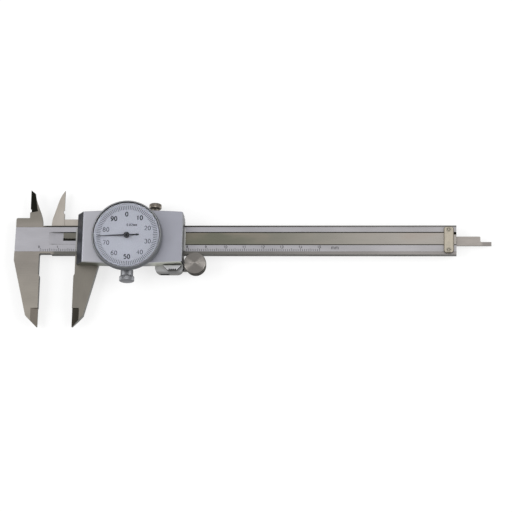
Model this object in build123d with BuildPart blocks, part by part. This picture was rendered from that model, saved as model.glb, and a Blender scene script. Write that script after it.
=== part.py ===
from build123d import *

import os
from math import acos, atan2, cos, pi, radians, sin, sqrt, tan

os.makedirs("parts", exist_ok=True)

# A 150 mm dial caliper that lies on its back. X runs along the beam in the opening direction of the jaws,
# Y points to the inside jaws and Z out of the dial. The origin is the centre of the fixed jaw's outside
# measuring face. Across-beam places are counted from the beam's centre line, places on the slider from
# the sliding jaw's measuring face, and places in the movement from the centre of the dial.

# Jaws and beam
jaw_opening = 18.49
jaw_reach = 47.6
jaw_face_start = 19.9
jaw_relief = 0.6
relief_slope = 1.2
inside_jaw_reach = 28.1
inside_edge = -6.5
beam_width = 16.0
beam_thickness = 3.5
beam_end = 222.4
beam_left = -13.8
bore_clearance = 0.05

# Grooves of the beam, each milled with one cutter
front_groove = (-2.4, 4.45)
front_groove_start = 12.0
front_groove_depth = 1.25
back_groove_half = 2.6
back_groove_start = 14.0
back_groove_depth = 1.4
cutter_radius = 25.0
scale_band = (-6.3, 7.2)
scale_recess = 0.06

# The inside jaws share the thickness of the beam, and the jaw tips are ground to these half thicknesses
jaw_split = 0.05
tip_start = 37.5
tip_width = 3.8
outside_tip_half = 0.6
inside_tip_half = 0.5

# Heights of the layers above the middle of the beam
beam_front = beam_thickness / 2
slider_front = 1.8
case_floor = 1.9
wall_front = 3.3
plate_front = 4.1
bridge_back = 6.4
bridge_front = 7.1
case_roof = 7.6
case_front = 8.8
bezel_back = 9.1
dial_seat = 10.7
crystal_back = 12.65
bezel_front = 13.8
rest_height = -3.35
arm_back = -2.75
depth_bar_back = -1.7
depth_bar_thickness = 1.25
cover_back = 1.45
cover_thickness = 0.2

# Slider
frame_left = 2.2
frame_right = 58.8
rail_inner = 8.05
gib_back = 8.9
frame_half = 12.3
tab_top = 12.0
tab_right = 2.7
inside_back = -13.2
lock_screw_x = 42.7
thumb_rest_left = 43.8
roller_x = 65.4
roller_radius = 5.9
drive_radius = 5.5
roller_y = -(beam_width / 2 + drive_radius + 0.02)
thumb_bottom = -18.6

# Places of the screws and rivets, along and across
end_screw_places = [(218.3, side * 5.6) for side in (-1, 1)]
gib_screw_places = (15.0, 31.0)
corner_screw_places = [(x, side * 10.6) for x in (5.8, 55.2) for side in (-1, 1)]
depth_screw_places = [(27.0, 0.0), (35.0, 0.0)]
case_screw_places = [(x, side * 10.5) for x in (10.5, 50.0) for side in (-1, 1)]
arm_screw_places = [(49.5, -14.6), (55.5, -14.6)]
rivet_places = [(44.0, 1.0), (49.0, 1.0)]

# Screws: shank, head and slot of the countersunk ones, then the cheese heads under the case
screw_radius = 0.75
countersink_radius = 1.5
slot_half = 0.2
case_head_radius = 1.45

# Case and dial
case_left = 1.5
case_bevel = 3.9
case_end_half = 13.8
case_middle_half = 14.7
dial_x = 29.3
bezel_radius = 18.9
bezel_rim_radius = 18.55
crystal_seat = 18.0
bezel_step_z = 11.9
spigot_radius = 16.2
boss_radius = 17.6
spring_ring_z = (9.85, 10.15)
pointer_z = 12.0
pointer_thickness = 0.14
clamp_z = 5.2
clamp_bush_radius = 3.35
plunger_y = -16.9

# Gear train: one turn of the centre pinion for each 2 mm of travel
pressure_angle = radians(20)
rack_pitch = 0.8
rack_pitch_y = 0.9
rack_ends = (12.2, 184.0)
rack_teeth_clearance = 0.3
rack_thickness = 0.9
pinion_teeth = 10
drive_teeth = 72
centre_teeth = 18
train_module = 0.15
rack_module = rack_pitch / pi
pinion_radius = pinion_teeth * rack_module / 2
arbor_y = rack_pitch_y - pinion_radius
centre_distance = (drive_teeth + centre_teeth) * train_module / 2
arbor_x = -sqrt(centre_distance**2 - arbor_y**2)
pillar_places = [(-12.5, 6.2), (-12.5, -5.6), (5.5, 0.6)]
turns_per_mm = drive_teeth / centre_teeth / (pinion_teeth * rack_pitch)
depth_bar_width = 5.0

# The beam's centre line lies above the origin, in the middle of the reach of the measuring face
centre_y = (jaw_reach + jaw_face_start) / 2
dial_centre = (jaw_opening + dial_x, centre_y)


def beam_plane(z):
    """Plane at height z, with its origin on the beam's centre line at the fixed measuring face."""
    return Plane(origin=(0, centre_y, z))


def slider_plane(z):
    """Plane at height z, with its origin on the centre line at the sliding measuring face."""
    return Plane(origin=(jaw_opening, centre_y, z))


def dial_plane(z):
    """Plane at height z, with its origin at the centre of the dial."""
    return Plane(origin=(*dial_centre, z))


def side_plane(x, y):
    """Upright plane that looks along Y, with X to the right and Z up."""
    return Plane(origin=(x, centre_y + y, 0), x_dir=(1, 0, 0), z_dir=(0, -1, 0))


def outline(points, plane):
    """A closed face with straight edges through the points."""
    with BuildSketch(plane) as face:
        with BuildLine():
            Polyline(*points, close=True)
        make_face()
    return face.sketch


def turned(half_section, x, y, mode=Mode.ADD):
    """Turns a half section, given as radius and height, about an upright axis at x, y."""
    axis = Axis((x, centre_y + y, 0), (0, 0, 1))
    revolve(outline(half_section, side_plane(x, y)), axis=axis, mode=mode)


def turned_across(half_section, x, z, mode=Mode.ADD):
    """Turns a half section, given as radius and place across the beam, about an axis along Y."""
    centre = (x, centre_y, z)
    revolve(outline(half_section, Plane(origin=centre)), axis=Axis(centre, (0, 1, 0)), mode=mode)


def rounds(plane, places, radius, height, mode=Mode.ADD):
    """Round bars or holes of one radius at several places of a plane."""
    with BuildSketch(plane) as circles:
        with Locations(*places):
            Circle(radius)
    extrude(circles.sketch, amount=height, mode=mode)


def block(plane, x_range, y_range, height, mode=Mode.ADD, corner=0.0):
    """A slab between two x and two y values of a plane, with rounded upright corners."""
    size = (x_range[1] - x_range[0], y_range[1] - y_range[0])
    middle = ((x_range[0] + x_range[1]) / 2, (y_range[0] + y_range[1]) / 2)
    with BuildSketch(plane) as slab:
        with Locations(middle):
            if corner:
                RectangleRounded(*size, corner)
            else:
                Rectangle(*size)
    extrude(slab.sketch, amount=height, mode=mode)


def milled_groove(start, end, y_range, floor, side):
    """Cuts a long groove whose closed end runs out on the cutter's own radius; side is 1 for the front."""
    depth = beam_front - floor
    run_out = sqrt(cutter_radius**2 - (cutter_radius - depth) ** 2)
    with BuildSketch(side_plane(0, y_range[1])) as profile:
        with BuildLine():
            Line((end, side * beam_front), (end, side * floor))
            Line((end, side * floor), (start, side * floor))
            bend = TangentArc(
                (start, side * floor), (start - run_out, side * beam_front), tangent=(-1, 0)
            )
            Line(bend @ 1, (start - run_out, side * (beam_front + 1)))
            Line((start - run_out, side * (beam_front + 1)), (end, side * (beam_front + 1)))
            Line((end, side * (beam_front + 1)), (end, side * beam_front))
        make_face()
    extrude(profile.sketch, amount=y_range[1] - y_range[0], mode=Mode.SUBTRACT)


def knife_edge(origin_x, start_y, x_wide, x_edge, z_face, z_edge, lean=0.0):
    """Grinds a facet from start_y to the tip, which thins a jaw from x_wide to its measuring edge."""
    side = 1 if z_face > 0 else -1
    along = 1 if start_y > 0 else -1
    tip_direction = (-sin(radians(lean)) * along, cos(radians(lean)) * along, 0)
    across = (-cos(radians(lean)) * along, -sin(radians(lean)) * along, 0)
    grind = Plane(origin=(origin_x + x_wide, centre_y + start_y, 0), x_dir=across, z_dir=tip_direction)
    past_edge = 1.5
    far = -along * (x_edge - x_wide) * past_edge
    far_z = z_face + (z_edge - z_face) * past_edge
    points = [(0, z_face), (far, far_z), (far, z_face + side), (0, z_face + side)]
    extrude(outline(points, grind), amount=jaw_reach - tip_start + 4, mode=Mode.SUBTRACT)


def slots(plane, places, radius, depth):
    """Screwdriver slots across round heads."""
    for x, y in places:
        reach = radius + 0.1
        block(plane, (x - reach, x + reach), (y - slot_half, y + slot_half), depth, mode=Mode.SUBTRACT)


def gear_outline(teeth, module, backlash, phase):
    """Outline of a gear from the 20 degree involute, each flank as two chords, a tooth at the phase."""
    pitch_radius = teeth * module / 2
    base_radius = pitch_radius * cos(pressure_angle)
    half_at_pitch = (pi * module / 2 - backlash) / 2 / pitch_radius
    levels = (pitch_radius - 1.2 * module, pitch_radius, pitch_radius + 0.8 * module)

    def half_angle(radius):
        lean = acos(min(1.0, base_radius / radius))
        return half_at_pitch + tan(pressure_angle) - pressure_angle - tan(lean) + lean

    points = []
    for tooth in range(teeth):
        middle = phase + 2 * pi * tooth / teeth
        for side, order in ((-1, levels), (1, levels[::-1])):
            for radius in order:
                angle = middle + side * half_angle(radius)
                points.append((radius * cos(angle), radius * sin(angle)))
    return points


def gear(plane, teeth, module, backlash, phase, width, bore=0.0):
    """A spur gear on a plane through its centre."""
    extrude(outline(gear_outline(teeth, module, backlash, phase), plane), amount=width)
    if bore:
        rounds(plane, [(0, 0)], bore, width, mode=Mode.SUBTRACT)


def keep(part, label):
    """Labels a finished piece and writes its file."""
    part.label = label
    export_step(part, f"parts/{label}.step")


# Beam with the fixed jaws: one ground bar of hardened steel
with BuildPart() as main_beam:
    with BuildSketch(beam_plane(-beam_front)):
        with BuildLine():
            Polyline(
                (beam_left, beam_width / 2),
                (beam_left - 0.35, -11.1),
                (-6.6, -41.5),
                (-0.5, -jaw_reach),
                (0, -jaw_reach),
                (0, -jaw_face_start),
                (-jaw_relief, -jaw_face_start + relief_slope),
                (-jaw_relief, -8.2),
            )
            TangentArc((-jaw_relief, -8.2), (0.4, -7.4), tangent=(0, 1))
            Polyline(
                (0.4, -7.4),
                (5.5, -7.4),
                (6.1, -beam_width / 2),
                (beam_end, -beam_width / 2),
                (beam_end, beam_width / 2),
                (beam_left, beam_width / 2),
            )
        make_face()
    extrude(amount=beam_thickness)
    with BuildSketch(beam_plane(jaw_split)):
        with BuildLine():
            Polyline(
                (0.65, 7.5),
                (beam_left, 7.5),
                (beam_left, 11.4),
            )
            TangentArc((beam_left, 11.4), (beam_left + 0.9, 12.3), tangent=(0, 1))
            Polyline(
                (beam_left + 0.9, 12.3),
                (inside_edge, 12.3),
                (inside_edge, 15.8),
                (inside_edge + 0.6, 16.1),
                (inside_edge + 0.6, 17.3),
                (inside_edge, 17.6),
                (inside_edge, inside_jaw_reach),
                (-4.0, 26.0),
            )
            Spline((-4.0, 26.0), (-2.1, 19.0), (0.35, 12.3), (0.65, 7.5))
        make_face()
    extrude(amount=beam_front - jaw_split)
    block(beam_plane(beam_front - scale_recess), (-20, beam_end + 1), scale_band, 1, mode=Mode.SUBTRACT)
    milled_groove(
        front_groove_start, beam_end + 1, front_groove, beam_front - front_groove_depth, 1
    )
    milled_groove(
        back_groove_start,
        beam_end + 1,
        (-back_groove_half, back_groove_half),
        beam_front - back_groove_depth,
        -1,
    )
    knife_edge(0, 16.1, inside_edge + 4.2, inside_edge, beam_front, inside_tip_half, lean=10)
    for side in (-1, 1):
        knife_edge(0, -tip_start, -tip_width, 0, side * beam_front, side * outside_tip_half)
    rounds(beam_plane(-beam_front), end_screw_places, 0.85, beam_thickness, mode=Mode.SUBTRACT)
keep(main_beam.part, "main_beam")

# Rack: a toothed bar seated in the upper part of the front groove
pinion_x = jaw_opening + dial_x + arbor_x
with BuildPart() as rack:
    tooth_half = (rack_pitch / 2 - 0.025) / 2
    tip_y = rack_pitch_y - 0.8 * rack_module
    root_y = rack_pitch_y + rack_teeth_clearance
    tip_half = tooth_half - (rack_pitch_y - tip_y) * tan(pressure_angle)
    root_half = tooth_half + (root_y - rack_pitch_y) * tan(pressure_angle)
    first_tooth = int((rack_ends[0] - pinion_x) / rack_pitch) + 1
    last_tooth = int((rack_ends[1] - pinion_x) / rack_pitch) - 1
    rack_back_y = front_groove[1] - 0.02
    points = [(rack_ends[0], rack_back_y), (rack_ends[0], root_y)]
    for tooth in range(first_tooth, last_tooth):
        middle = pinion_x + (tooth + 0.5) * rack_pitch
        points.append((middle - root_half, root_y))
        points.append((middle - tip_half, tip_y))
        points.append((middle + tip_half, tip_y))
        points.append((middle + root_half, root_y))
    points += [(rack_ends[1], root_y), (rack_ends[1], rack_back_y)]
    extrude(outline(points, beam_plane(beam_front - front_groove_depth)), amount=rack_thickness)
keep(rack.part, "rack")

# Stop plate across the end of the beam, with its two screws
end_plate_thickness = 1.1
end_head_radius = 1.3
with BuildPart() as end_plate:
    block(beam_plane(beam_front), (215.7, 221.0), (-7.3, 7.3), end_plate_thickness)
    chamfer(end_plate.edges().filter_by(Axis.Z), 1.1)
    chamfer(end_plate.faces().sort_by(Axis.Z)[-1].edges(), 0.2)
    rounds(beam_plane(beam_front), end_screw_places, 0.9, end_plate_thickness, mode=Mode.SUBTRACT)
    rounds(beam_plane(beam_front + 0.6), end_screw_places, end_head_radius + 0.05, 0.5, mode=Mode.SUBTRACT)
keep(end_plate.part, "end_plate")

with BuildPart() as end_plate_screws:
    rounds(beam_plane(-beam_front + 0.3), end_screw_places, 0.8, beam_thickness + 0.4)
    rounds(beam_plane(beam_front + 0.62), end_screw_places, end_head_radius, 0.55)
    slots(beam_plane(beam_front + 0.9), end_screw_places, end_head_radius, 0.4)
keep(end_plate_screws.part, "end_plate_screws")

# Slider frame with the sliding jaws, the rails beside the beam and the rest for the thumb
with BuildPart() as slider_frame:
    with BuildSketch(slider_plane(-slider_front)):
        with BuildLine():
            Polyline(
                (jaw_relief, -rail_inner),
                (jaw_relief, -jaw_face_start + relief_slope),
                (0, -jaw_face_start),
                (0, -jaw_reach),
                (0.5, -jaw_reach),
                (6.0, -41.5),
                (13.6, -frame_half),
                (13.6, -rail_inner),
                close=True,
            )
        make_face()
    extrude(amount=2 * slider_front)
    for side in (-1, 1):
        knife_edge(jaw_opening, -tip_start, tip_width, 0, side * slider_front, side * outside_tip_half)
    with BuildSketch(slider_plane(-slider_front)):
        with BuildLine():
            Polyline(
                (tab_right, rail_inner),
                (inside_back, rail_inner),
            )
            Spline(
                (inside_back, rail_inner),
                (-12.95, 11.5),
                (-11.35, 16.9),
                (-8.85, 24.4),
                (inside_edge, inside_jaw_reach),
            )
            Polyline(
                (inside_edge, inside_jaw_reach),
                (inside_edge, 17.0),
                (inside_edge - 0.6, 16.7),
                (inside_edge - 0.6, 15.5),
                (inside_edge, 15.2),
                (inside_edge, tab_top),
                (tab_right, tab_top),
                (tab_right, rail_inner),
            )
        make_face()
    extrude(amount=slider_front - jaw_split)
    knife_edge(jaw_opening, 16.5, inside_edge - 4.2, inside_edge, -slider_front, -inside_tip_half, lean=-10)
    back = slider_plane(-slider_front)
    block(back, (frame_left, frame_right), (gib_back + 0.05, frame_half), 2 * slider_front)
    block(back, (11.0, frame_right), (-frame_half, -rail_inner), 2 * slider_front)
    block(slider_plane(slider_front), (6.2, 57.4), (-frame_half, frame_half), wall_front - slider_front)
    block(
        slider_plane(-slider_front),
        (lock_screw_x - 2.7, lock_screw_x + 2.7),
        (frame_half - 0.5, 16.0),
        2 * slider_front,
        corner=0.4,
    )
    thumb_top = -frame_half + 0.5
    with BuildSketch(slider_plane(-slider_front)):
        with BuildLine():
            FilletPolyline(
                (thumb_rest_left, thumb_top),
                (thumb_rest_left, thumb_bottom),
                (frame_right, thumb_bottom),
                (frame_right, thumb_top),
                radius=3.2,
            )
            Line((frame_right, thumb_top), (thumb_rest_left, thumb_top))
        make_face()
    extrude(amount=2 * slider_front)
    with BuildSketch(slider_plane(slider_front)):
        with BuildLine():
            Polyline((48.3, -14.75), (50.9, -17.3), (55.6, -17.3), (58.0, -14.75), close=True)
        make_face()
    extrude(amount=3.1)
    chamfer(slider_frame.faces().sort_by(Axis.Z)[-1].edges().sort_by(Axis.Y)[:3], 0.35)
    for groove in range(4):
        groove_x = 51.5 + groove * 1.1
        block(slider_plane(4.2), (groove_x, groove_x + 0.5), (-17.5, -16.6), 1, mode=Mode.SUBTRACT)
    slot = (thumb_bottom - 1, thumb_bottom + 3)
    block(slider_plane(-1.5), (46.7, 51.4), slot, 2.85, mode=Mode.SUBTRACT)
    rounds(slider_plane(slider_front), [(dial_x + arbor_x, arbor_y)], 2.3, 2, mode=Mode.SUBTRACT)
    rounds(dial_plane(slider_front + 0.3), pillar_places, 0.75, 2, mode=Mode.SUBTRACT)
    rounds(back, corner_screw_places, screw_radius + 0.1, 2.4, mode=Mode.SUBTRACT)
    rounds(back, case_screw_places, 0.95, 6, mode=Mode.SUBTRACT)
    rounds(back, case_screw_places, case_head_radius + 0.1, 1.2, mode=Mode.SUBTRACT)
    rounds(slider_plane(slider_front), rivet_places, 0.55, 2, mode=Mode.SUBTRACT)
    rounds(back, arm_screw_places, 0.75, 2.6, mode=Mode.SUBTRACT)
    for x in gib_screw_places:
        turned_across([(0, 8), (1.05, 8), (1.05, 13), (0, 13)], jaw_opening + x, 0, mode=Mode.SUBTRACT)
    turned_across([(0, 8), (1.3, 8), (1.3, 17), (0, 17)], jaw_opening + lock_screw_x, 0, mode=Mode.SUBTRACT)
keep(slider_frame.part, "slider_frame")

# Gib strip between the upper rail and the beam, and the two set screws that adjust it
with BuildPart() as gib_strip:
    block(slider_plane(-1.7), (frame_left + 0.8, frame_right - 0.8), (rail_inner - 0.02, gib_back), 3.4)
    chamfer(gib_strip.edges().filter_by(Axis.Z), 0.2)
keep(gib_strip.part, "gib_strip")

with BuildPart() as gib_screws:
    for x in gib_screw_places:
        turned_across(
            [(0, gib_back), (0.6, gib_back), (1.0, 9.4), (1.0, 11.9), (0, 11.9)], jaw_opening + x, 0
        )
        slot_x = (x - slot_half, x + slot_half)
        block(slider_plane(-1.2), slot_x, (11.4, 12.2), 2.4, mode=Mode.SUBTRACT)
keep(gib_screws.part, "gib_screws")

# Back plate that closes the slider behind the beam, with its four countersunk screws
with BuildPart() as back_plate:
    block(
        slider_plane(rest_height),
        (frame_left, frame_right),
        (-frame_half, frame_half),
        -slider_front - rest_height,
        corner=1.2,
    )
    chamfer(back_plate.faces().sort_by(Axis.Z)[0].edges(), 0.25)
    hole_radius = screw_radius + 0.1
    sink_back = rest_height - 0.1
    sink_front = rest_height + 0.8
    places = corner_screw_places + depth_screw_places
    rounds(slider_plane(rest_height), places, hole_radius, 2, mode=Mode.SUBTRACT)
    for x, y in places:
        cone = [
            (0, sink_back),
            (countersink_radius + 0.25, sink_back),
            (hole_radius, sink_front),
            (0, sink_front),
        ]
        turned(cone, jaw_opening + x, y, mode=Mode.SUBTRACT)
keep(back_plate.part, "back_plate")


def countersunk_screw(x, y, head_z, tip_z):
    """A countersunk screw that points up from the back of the slider."""
    neck_z = head_z + countersink_radius - screw_radius
    half_section = [
        (0, head_z),
        (countersink_radius, head_z),
        (screw_radius, neck_z),
        (screw_radius, tip_z),
        (0, tip_z),
    ]
    turned(half_section, jaw_opening + x, y)
    slots(slider_plane(head_z), [(x, y)], countersink_radius, 0.35)


with BuildPart() as back_plate_screws:
    for x, y in corner_screw_places:
        countersunk_screw(x, y, rest_height + 0.05, 0.4)
keep(back_plate_screws.part, "back_plate_screws")

# Depth bar in the back groove, fastened to the back plate, with its stepped tip
depth_tip = beam_end + jaw_opening
with BuildPart() as depth_bar:
    half_width = depth_bar_width / 2
    bar_back = beam_plane(depth_bar_back)
    block(bar_back, (jaw_opening + 20, depth_tip), (-half_width, half_width), depth_bar_thickness)
    block(beam_plane(-slider_front), (jaw_opening + 20, jaw_opening + 41), (-2.3, 2.3), 0.1)
    block(beam_plane(-3), (depth_tip - 5.8, depth_tip + 1), (-0.5, 4), 4, mode=Mode.SUBTRACT)
    fillet(depth_bar.edges().filter_by(Axis.Z).group_by(Axis.X)[-2], 0.6)
    rounds(slider_plane(-2), depth_screw_places, screw_radius + 0.05, 1.35, mode=Mode.SUBTRACT)
keep(depth_bar.part, "depth_bar")

with BuildPart() as depth_bar_screws:
    for x, y in depth_screw_places:
        countersunk_screw(x, y, rest_height + 0.05, -0.7)
keep(depth_bar_screws.part, "depth_bar_screws")

# Strip that covers the rack behind the dial and slides in the front groove with the slider
with BuildPart() as rack_cover:
    cover_front = cover_back + cover_thickness
    cover_x = jaw_opening + 40
    block(beam_plane(cover_back), (cover_x, beam_end - 0.1), (-2.15, 4.2), cover_thickness)
    block(beam_plane(cover_back), (beam_end - 2.6, beam_end), (3.0, 4.3), cover_thickness, mode=Mode.SUBTRACT)
    block(beam_plane(cover_front), (cover_x, cover_x + 13), (-1.8, 3.8), slider_front - cover_front)
    rounds(slider_plane(cover_back - 0.05), rivet_places, 0.55, 1, mode=Mode.SUBTRACT)
keep(rack_cover.part, "rack_cover")

with BuildPart() as rack_cover_rivets:
    rivet_back = cover_back + 0.02
    rounds(slider_plane(rivet_back), rivet_places, 0.5, wall_front - rivet_back)
    rounds(slider_plane(wall_front), rivet_places, 1.0, 0.3)
keep(rack_cover_rivets.part, "rack_cover_rivets")

# Wipers that keep the face of the beam clean, one at each end of the case
wiper_y = (-6.1, 6.2)
wiper_back = slider_front + 0.02
wiper_thickness = 0.45
with BuildPart() as wiper_left:
    block(slider_plane(wiper_back), (0.6, 4.4), wiper_y, wiper_thickness)
    chamfer(wiper_left.edges().filter_by(Axis.Y).group_by(Axis.X)[0].sort_by(Axis.Z)[-1], 0.2)
keep(wiper_left.part, "wiper_left")

with BuildPart() as wiper_right:
    block(slider_plane(wiper_back), (57.6, 59.7), wiper_y, wiper_thickness)
    chamfer(wiper_right.edges().filter_by(Axis.Y).group_by(Axis.X)[-1].sort_by(Axis.Z)[-1], 0.2)
keep(wiper_right.part, "wiper_right")

# Case over the movement: a casting with a sloped end, crowned sides and a round boss for the bezel
with BuildPart() as dial_housing:
    middle = (case_left + frame_right) / 2
    top_left = (case_left, case_end_half)
    top_right = (frame_right, case_end_half)
    bottom_right = (frame_right, -case_end_half)
    bottom_left = (case_left, -case_end_half)
    with BuildSketch(slider_plane(case_floor)):
        with BuildLine():
            Line(bottom_left, top_left)
            ThreePointArc(top_left, (middle, case_middle_half), top_right)
            Line(top_right, bottom_right)
            ThreePointArc(bottom_right, (middle, -case_middle_half), bottom_left)
        make_face()
    extrude(amount=case_front - case_floor)
    fillet(dial_housing.edges().filter_by(Axis.Z).group_by(Axis.X)[-1], 1.0)
    bevel = [
        (case_left - 1, 3.0),
        (case_left, 3.0),
        (case_left + case_bevel, case_front),
        (case_left + case_bevel, case_front + 1),
        (case_left - 1, case_front + 1),
    ]
    extrude(outline(bevel, side_plane(jaw_opening, 20)), amount=40, mode=Mode.SUBTRACT)
    chamfer(dial_housing.faces().sort_by(Axis.Z)[-1].edges(), 0.4)
    rounds(dial_plane(5.6), [(0, 0)], boss_radius, case_front - 5.6)
    rounds(dial_plane(case_front), [(0, 0)], spigot_radius, 1.5)
    block(slider_plane(case_floor), (6.0, 57.6), (-12.6, 12.6), case_roof - case_floor, mode=Mode.SUBTRACT)
    rounds(dial_plane(case_roof), [(0, 0)], 15.0, 4, mode=Mode.SUBTRACT)
    groove_back = spring_ring_z[0] - 0.05
    groove_front = spring_ring_z[1] + 0.05
    ring_groove = [(15.8, groove_back), (17.0, groove_back), (17.0, groove_front), (15.8, groove_front)]
    turned(ring_groove, jaw_opening + dial_x, 0, mode=Mode.SUBTRACT)
    rounds(slider_plane(wall_front), case_screw_places, 1.95, case_roof - wall_front + 0.1)
    rounds(slider_plane(wall_front - 0.1), case_screw_places, 0.8, 3.6, mode=Mode.SUBTRACT)
    block(dial_plane(3.5), (-3.0, 3.0), (-13.5, -8.6), 3.7)
    clamp_bore = [(0, -17.8), (2.65, -17.8), (2.65, -13.6), (1.3, -13.6), (1.3, -8), (0, -8)]
    turned_across(clamp_bore, jaw_opening + dial_x, clamp_z, mode=Mode.SUBTRACT)
    rounds(dial_plane(5), [(0, plunger_y)], 0.75, 5, mode=Mode.SUBTRACT)
    for x_range in ((case_left - 1, 4.5), (57.5, 61)):
        block(slider_plane(case_floor - 0.1), x_range, (-6.2, 6.3), 0.55, mode=Mode.SUBTRACT)
keep(dial_housing.part, "dial_housing")

with BuildPart() as housing_screws:
    rounds(slider_plane(-slider_front + 0.1), case_screw_places, case_head_radius, 1.05)
    rounds(slider_plane(-slider_front + 1.15), case_screw_places, screw_radius, 7.2)
    slots(slider_plane(-slider_front), case_screw_places, case_head_radius, 0.5)
keep(housing_screws.part, "housing_screws")

# Movement: base plate, pillars and bridge that hold the two arbors
with BuildPart() as movement_plate:
    with BuildSketch(dial_plane(wall_front)):
        with BuildLine():
            for place in pillar_places:
                CenterArc(place, 3.0, 0, 360)
        make_hull()
    extrude(amount=plate_front - wall_front)
    rounds(dial_plane(wall_front - 0.1), pillar_places, 0.75, 2, mode=Mode.SUBTRACT)
    rounds(dial_plane(wall_front - 0.1), [(arbor_x, arbor_y)], 0.85, 2, mode=Mode.SUBTRACT)
    rounds(dial_plane(wall_front - 0.1), [(0, 0)], 0.4, 2, mode=Mode.SUBTRACT)
keep(movement_plate.part, "movement_plate")

with BuildPart() as movement_pillars:
    rounds(dial_plane(slider_front + 0.4), pillar_places, 0.7, plate_front - slider_front)
    rounds(dial_plane(plate_front), pillar_places, 1.3, bridge_back - plate_front)
    rounds(dial_plane(bridge_back - 1.2), pillar_places, 0.55, 2, mode=Mode.SUBTRACT)
keep(movement_pillars.part, "movement_pillars")

with BuildPart() as movement_bridge:
    with BuildSketch(dial_plane(bridge_back)):
        with BuildLine():
            for place in pillar_places:
                CenterArc(place, 2.2, 0, 360)
        make_hull()
    extrude(amount=bridge_front - bridge_back)
    rounds(dial_plane(bridge_back), pillar_places, 0.6, 2, mode=Mode.SUBTRACT)
    rounds(dial_plane(bridge_back), [(arbor_x, arbor_y)], 0.45, 2, mode=Mode.SUBTRACT)
    rounds(dial_plane(bridge_back), [(0, 0)], 0.55, 2, mode=Mode.SUBTRACT)
keep(movement_bridge.part, "movement_bridge")

with BuildPart() as bridge_screws:
    rounds(dial_plane(bridge_back - 1.0), pillar_places, 0.5, 1.0 + bridge_front - bridge_back)
    rounds(dial_plane(bridge_front), pillar_places, 1.1, 0.45)
    slots(dial_plane(bridge_front + 0.25), pillar_places, 1.1, 0.3)
keep(bridge_screws.part, "bridge_screws")

# Rack pinion on its arbor, with the drive gear, the split gear and the spring ring between them
arbor_plane_x = jaw_opening + dial_x + arbor_x


def arbor_plane(z):
    """Plane at height z through the axis of the rack pinion."""
    return Plane(origin=(arbor_plane_x, centre_y + arbor_y, z))


mesh_angle = atan2(-arbor_y, -arbor_x)
drive_back = 4.6
with BuildPart() as pinion_arbor:
    gear(arbor_plane(0.6), pinion_teeth, rack_module, 0.025, pi / 2, 0.75)
    turned(
        [
            (0, 1.3),
            (0.8, 1.3),
            (0.8, plate_front + 0.05),
            (1.5, plate_front + 0.05),
            (1.5, drive_back),
            (1.0, drive_back),
            (1.0, 5.8),
            (0.4, 5.8),
            (0.4, bridge_front),
            (0, bridge_front),
        ],
        arbor_plane_x,
        arbor_y,
    )
keep(pinion_arbor.part, "pinion_arbor")

with BuildPart() as drive_gear:
    gear(arbor_plane(drive_back), drive_teeth, train_module, 0.02, mesh_angle, 0.45, bore=1.0)
keep(drive_gear.part, "drive_gear")

with BuildPart() as anti_backlash_gear:
    gear(arbor_plane(drive_back + 0.5), drive_teeth, train_module, 0.02, mesh_angle, 0.3, bore=1.02)
keep(anti_backlash_gear.part, "anti_backlash_gear")

with BuildPart() as anti_backlash_spring:
    with BuildSketch(arbor_plane(drive_back + 0.85)):
        Circle(3.6)
        Circle(3.2, mode=Mode.SUBTRACT)
        with Locations((3.4, 0)):
            Rectangle(1.0, 1.6, mode=Mode.SUBTRACT)
    extrude(amount=0.25)
keep(anti_backlash_spring.part, "anti_backlash_spring")

# Centre pinion with the staff that carries the pointer through the dial
with BuildPart() as centre_pinion:
    half_tooth = pi / centre_teeth
    gear(dial_plane(4.4), centre_teeth, train_module, 0.02, mesh_angle + pi + half_tooth, 1.2)
    turned(
        [
            (0, wall_front + 0.1),
            (0.35, wall_front + 0.1),
            (0.35, plate_front + 0.05),
            (1.0, plate_front + 0.05),
            (1.0, 4.5),
            (0.5, 4.5),
            (0.5, 11.9),
            (0, 11.9),
        ],
        jaw_opening + dial_x,
        0,
    )
keep(centre_pinion.part, "centre_pinion")

# Pointer and its collet. The dial isn't set to zero: with the jaws closed the pointer stands half a turn on
closed_reading = 0.5
reading = closed_reading + jaw_opening * turns_per_mm
pointer_angle = 90 - 360 * (reading % 1)
pointer_direction = (cos(radians(pointer_angle)), sin(radians(pointer_angle)), 0)
pointer_plane = Plane(origin=(*dial_centre, pointer_z), x_dir=pointer_direction, z_dir=(0, 0, 1))
hand = [(1.2, 0.42), (15.6, 0.1), (15.6, -0.1), (1.2, -0.42)]
tail_edge = [(-1.2, 0.32), (-4.6, 0.28), (-5.4, 0.55), (-6.6, 0.35)]
tail = tail_edge + [(x, -y) for x, y in reversed(tail_edge)]
with BuildPart() as pointer:
    with BuildSketch(pointer_plane):
        for points in (hand, tail):
            with BuildLine():
                Polyline(*points, close=True)
            make_face()
        Circle(1.5)
        Circle(0.5, mode=Mode.SUBTRACT)
    extrude(amount=pointer_thickness)
keep(pointer.part, "pointer")

with BuildPart() as pointer_collet:
    sleeve = [(0.5, 11.7), (0.9, 11.7), (0.9, pointer_z), (0.5, pointer_z)]
    cap_back = pointer_z + pointer_thickness
    cap = [(0, cap_back), (1.65, cap_back), (1.65, cap_back + 0.16), (1.2, 12.45), (0, 12.45)]
    turned(sleeve, jaw_opening + dial_x, 0)
    turned(cap, jaw_opening + dial_x, 0)
keep(pointer_collet.part, "pointer_collet")

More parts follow.
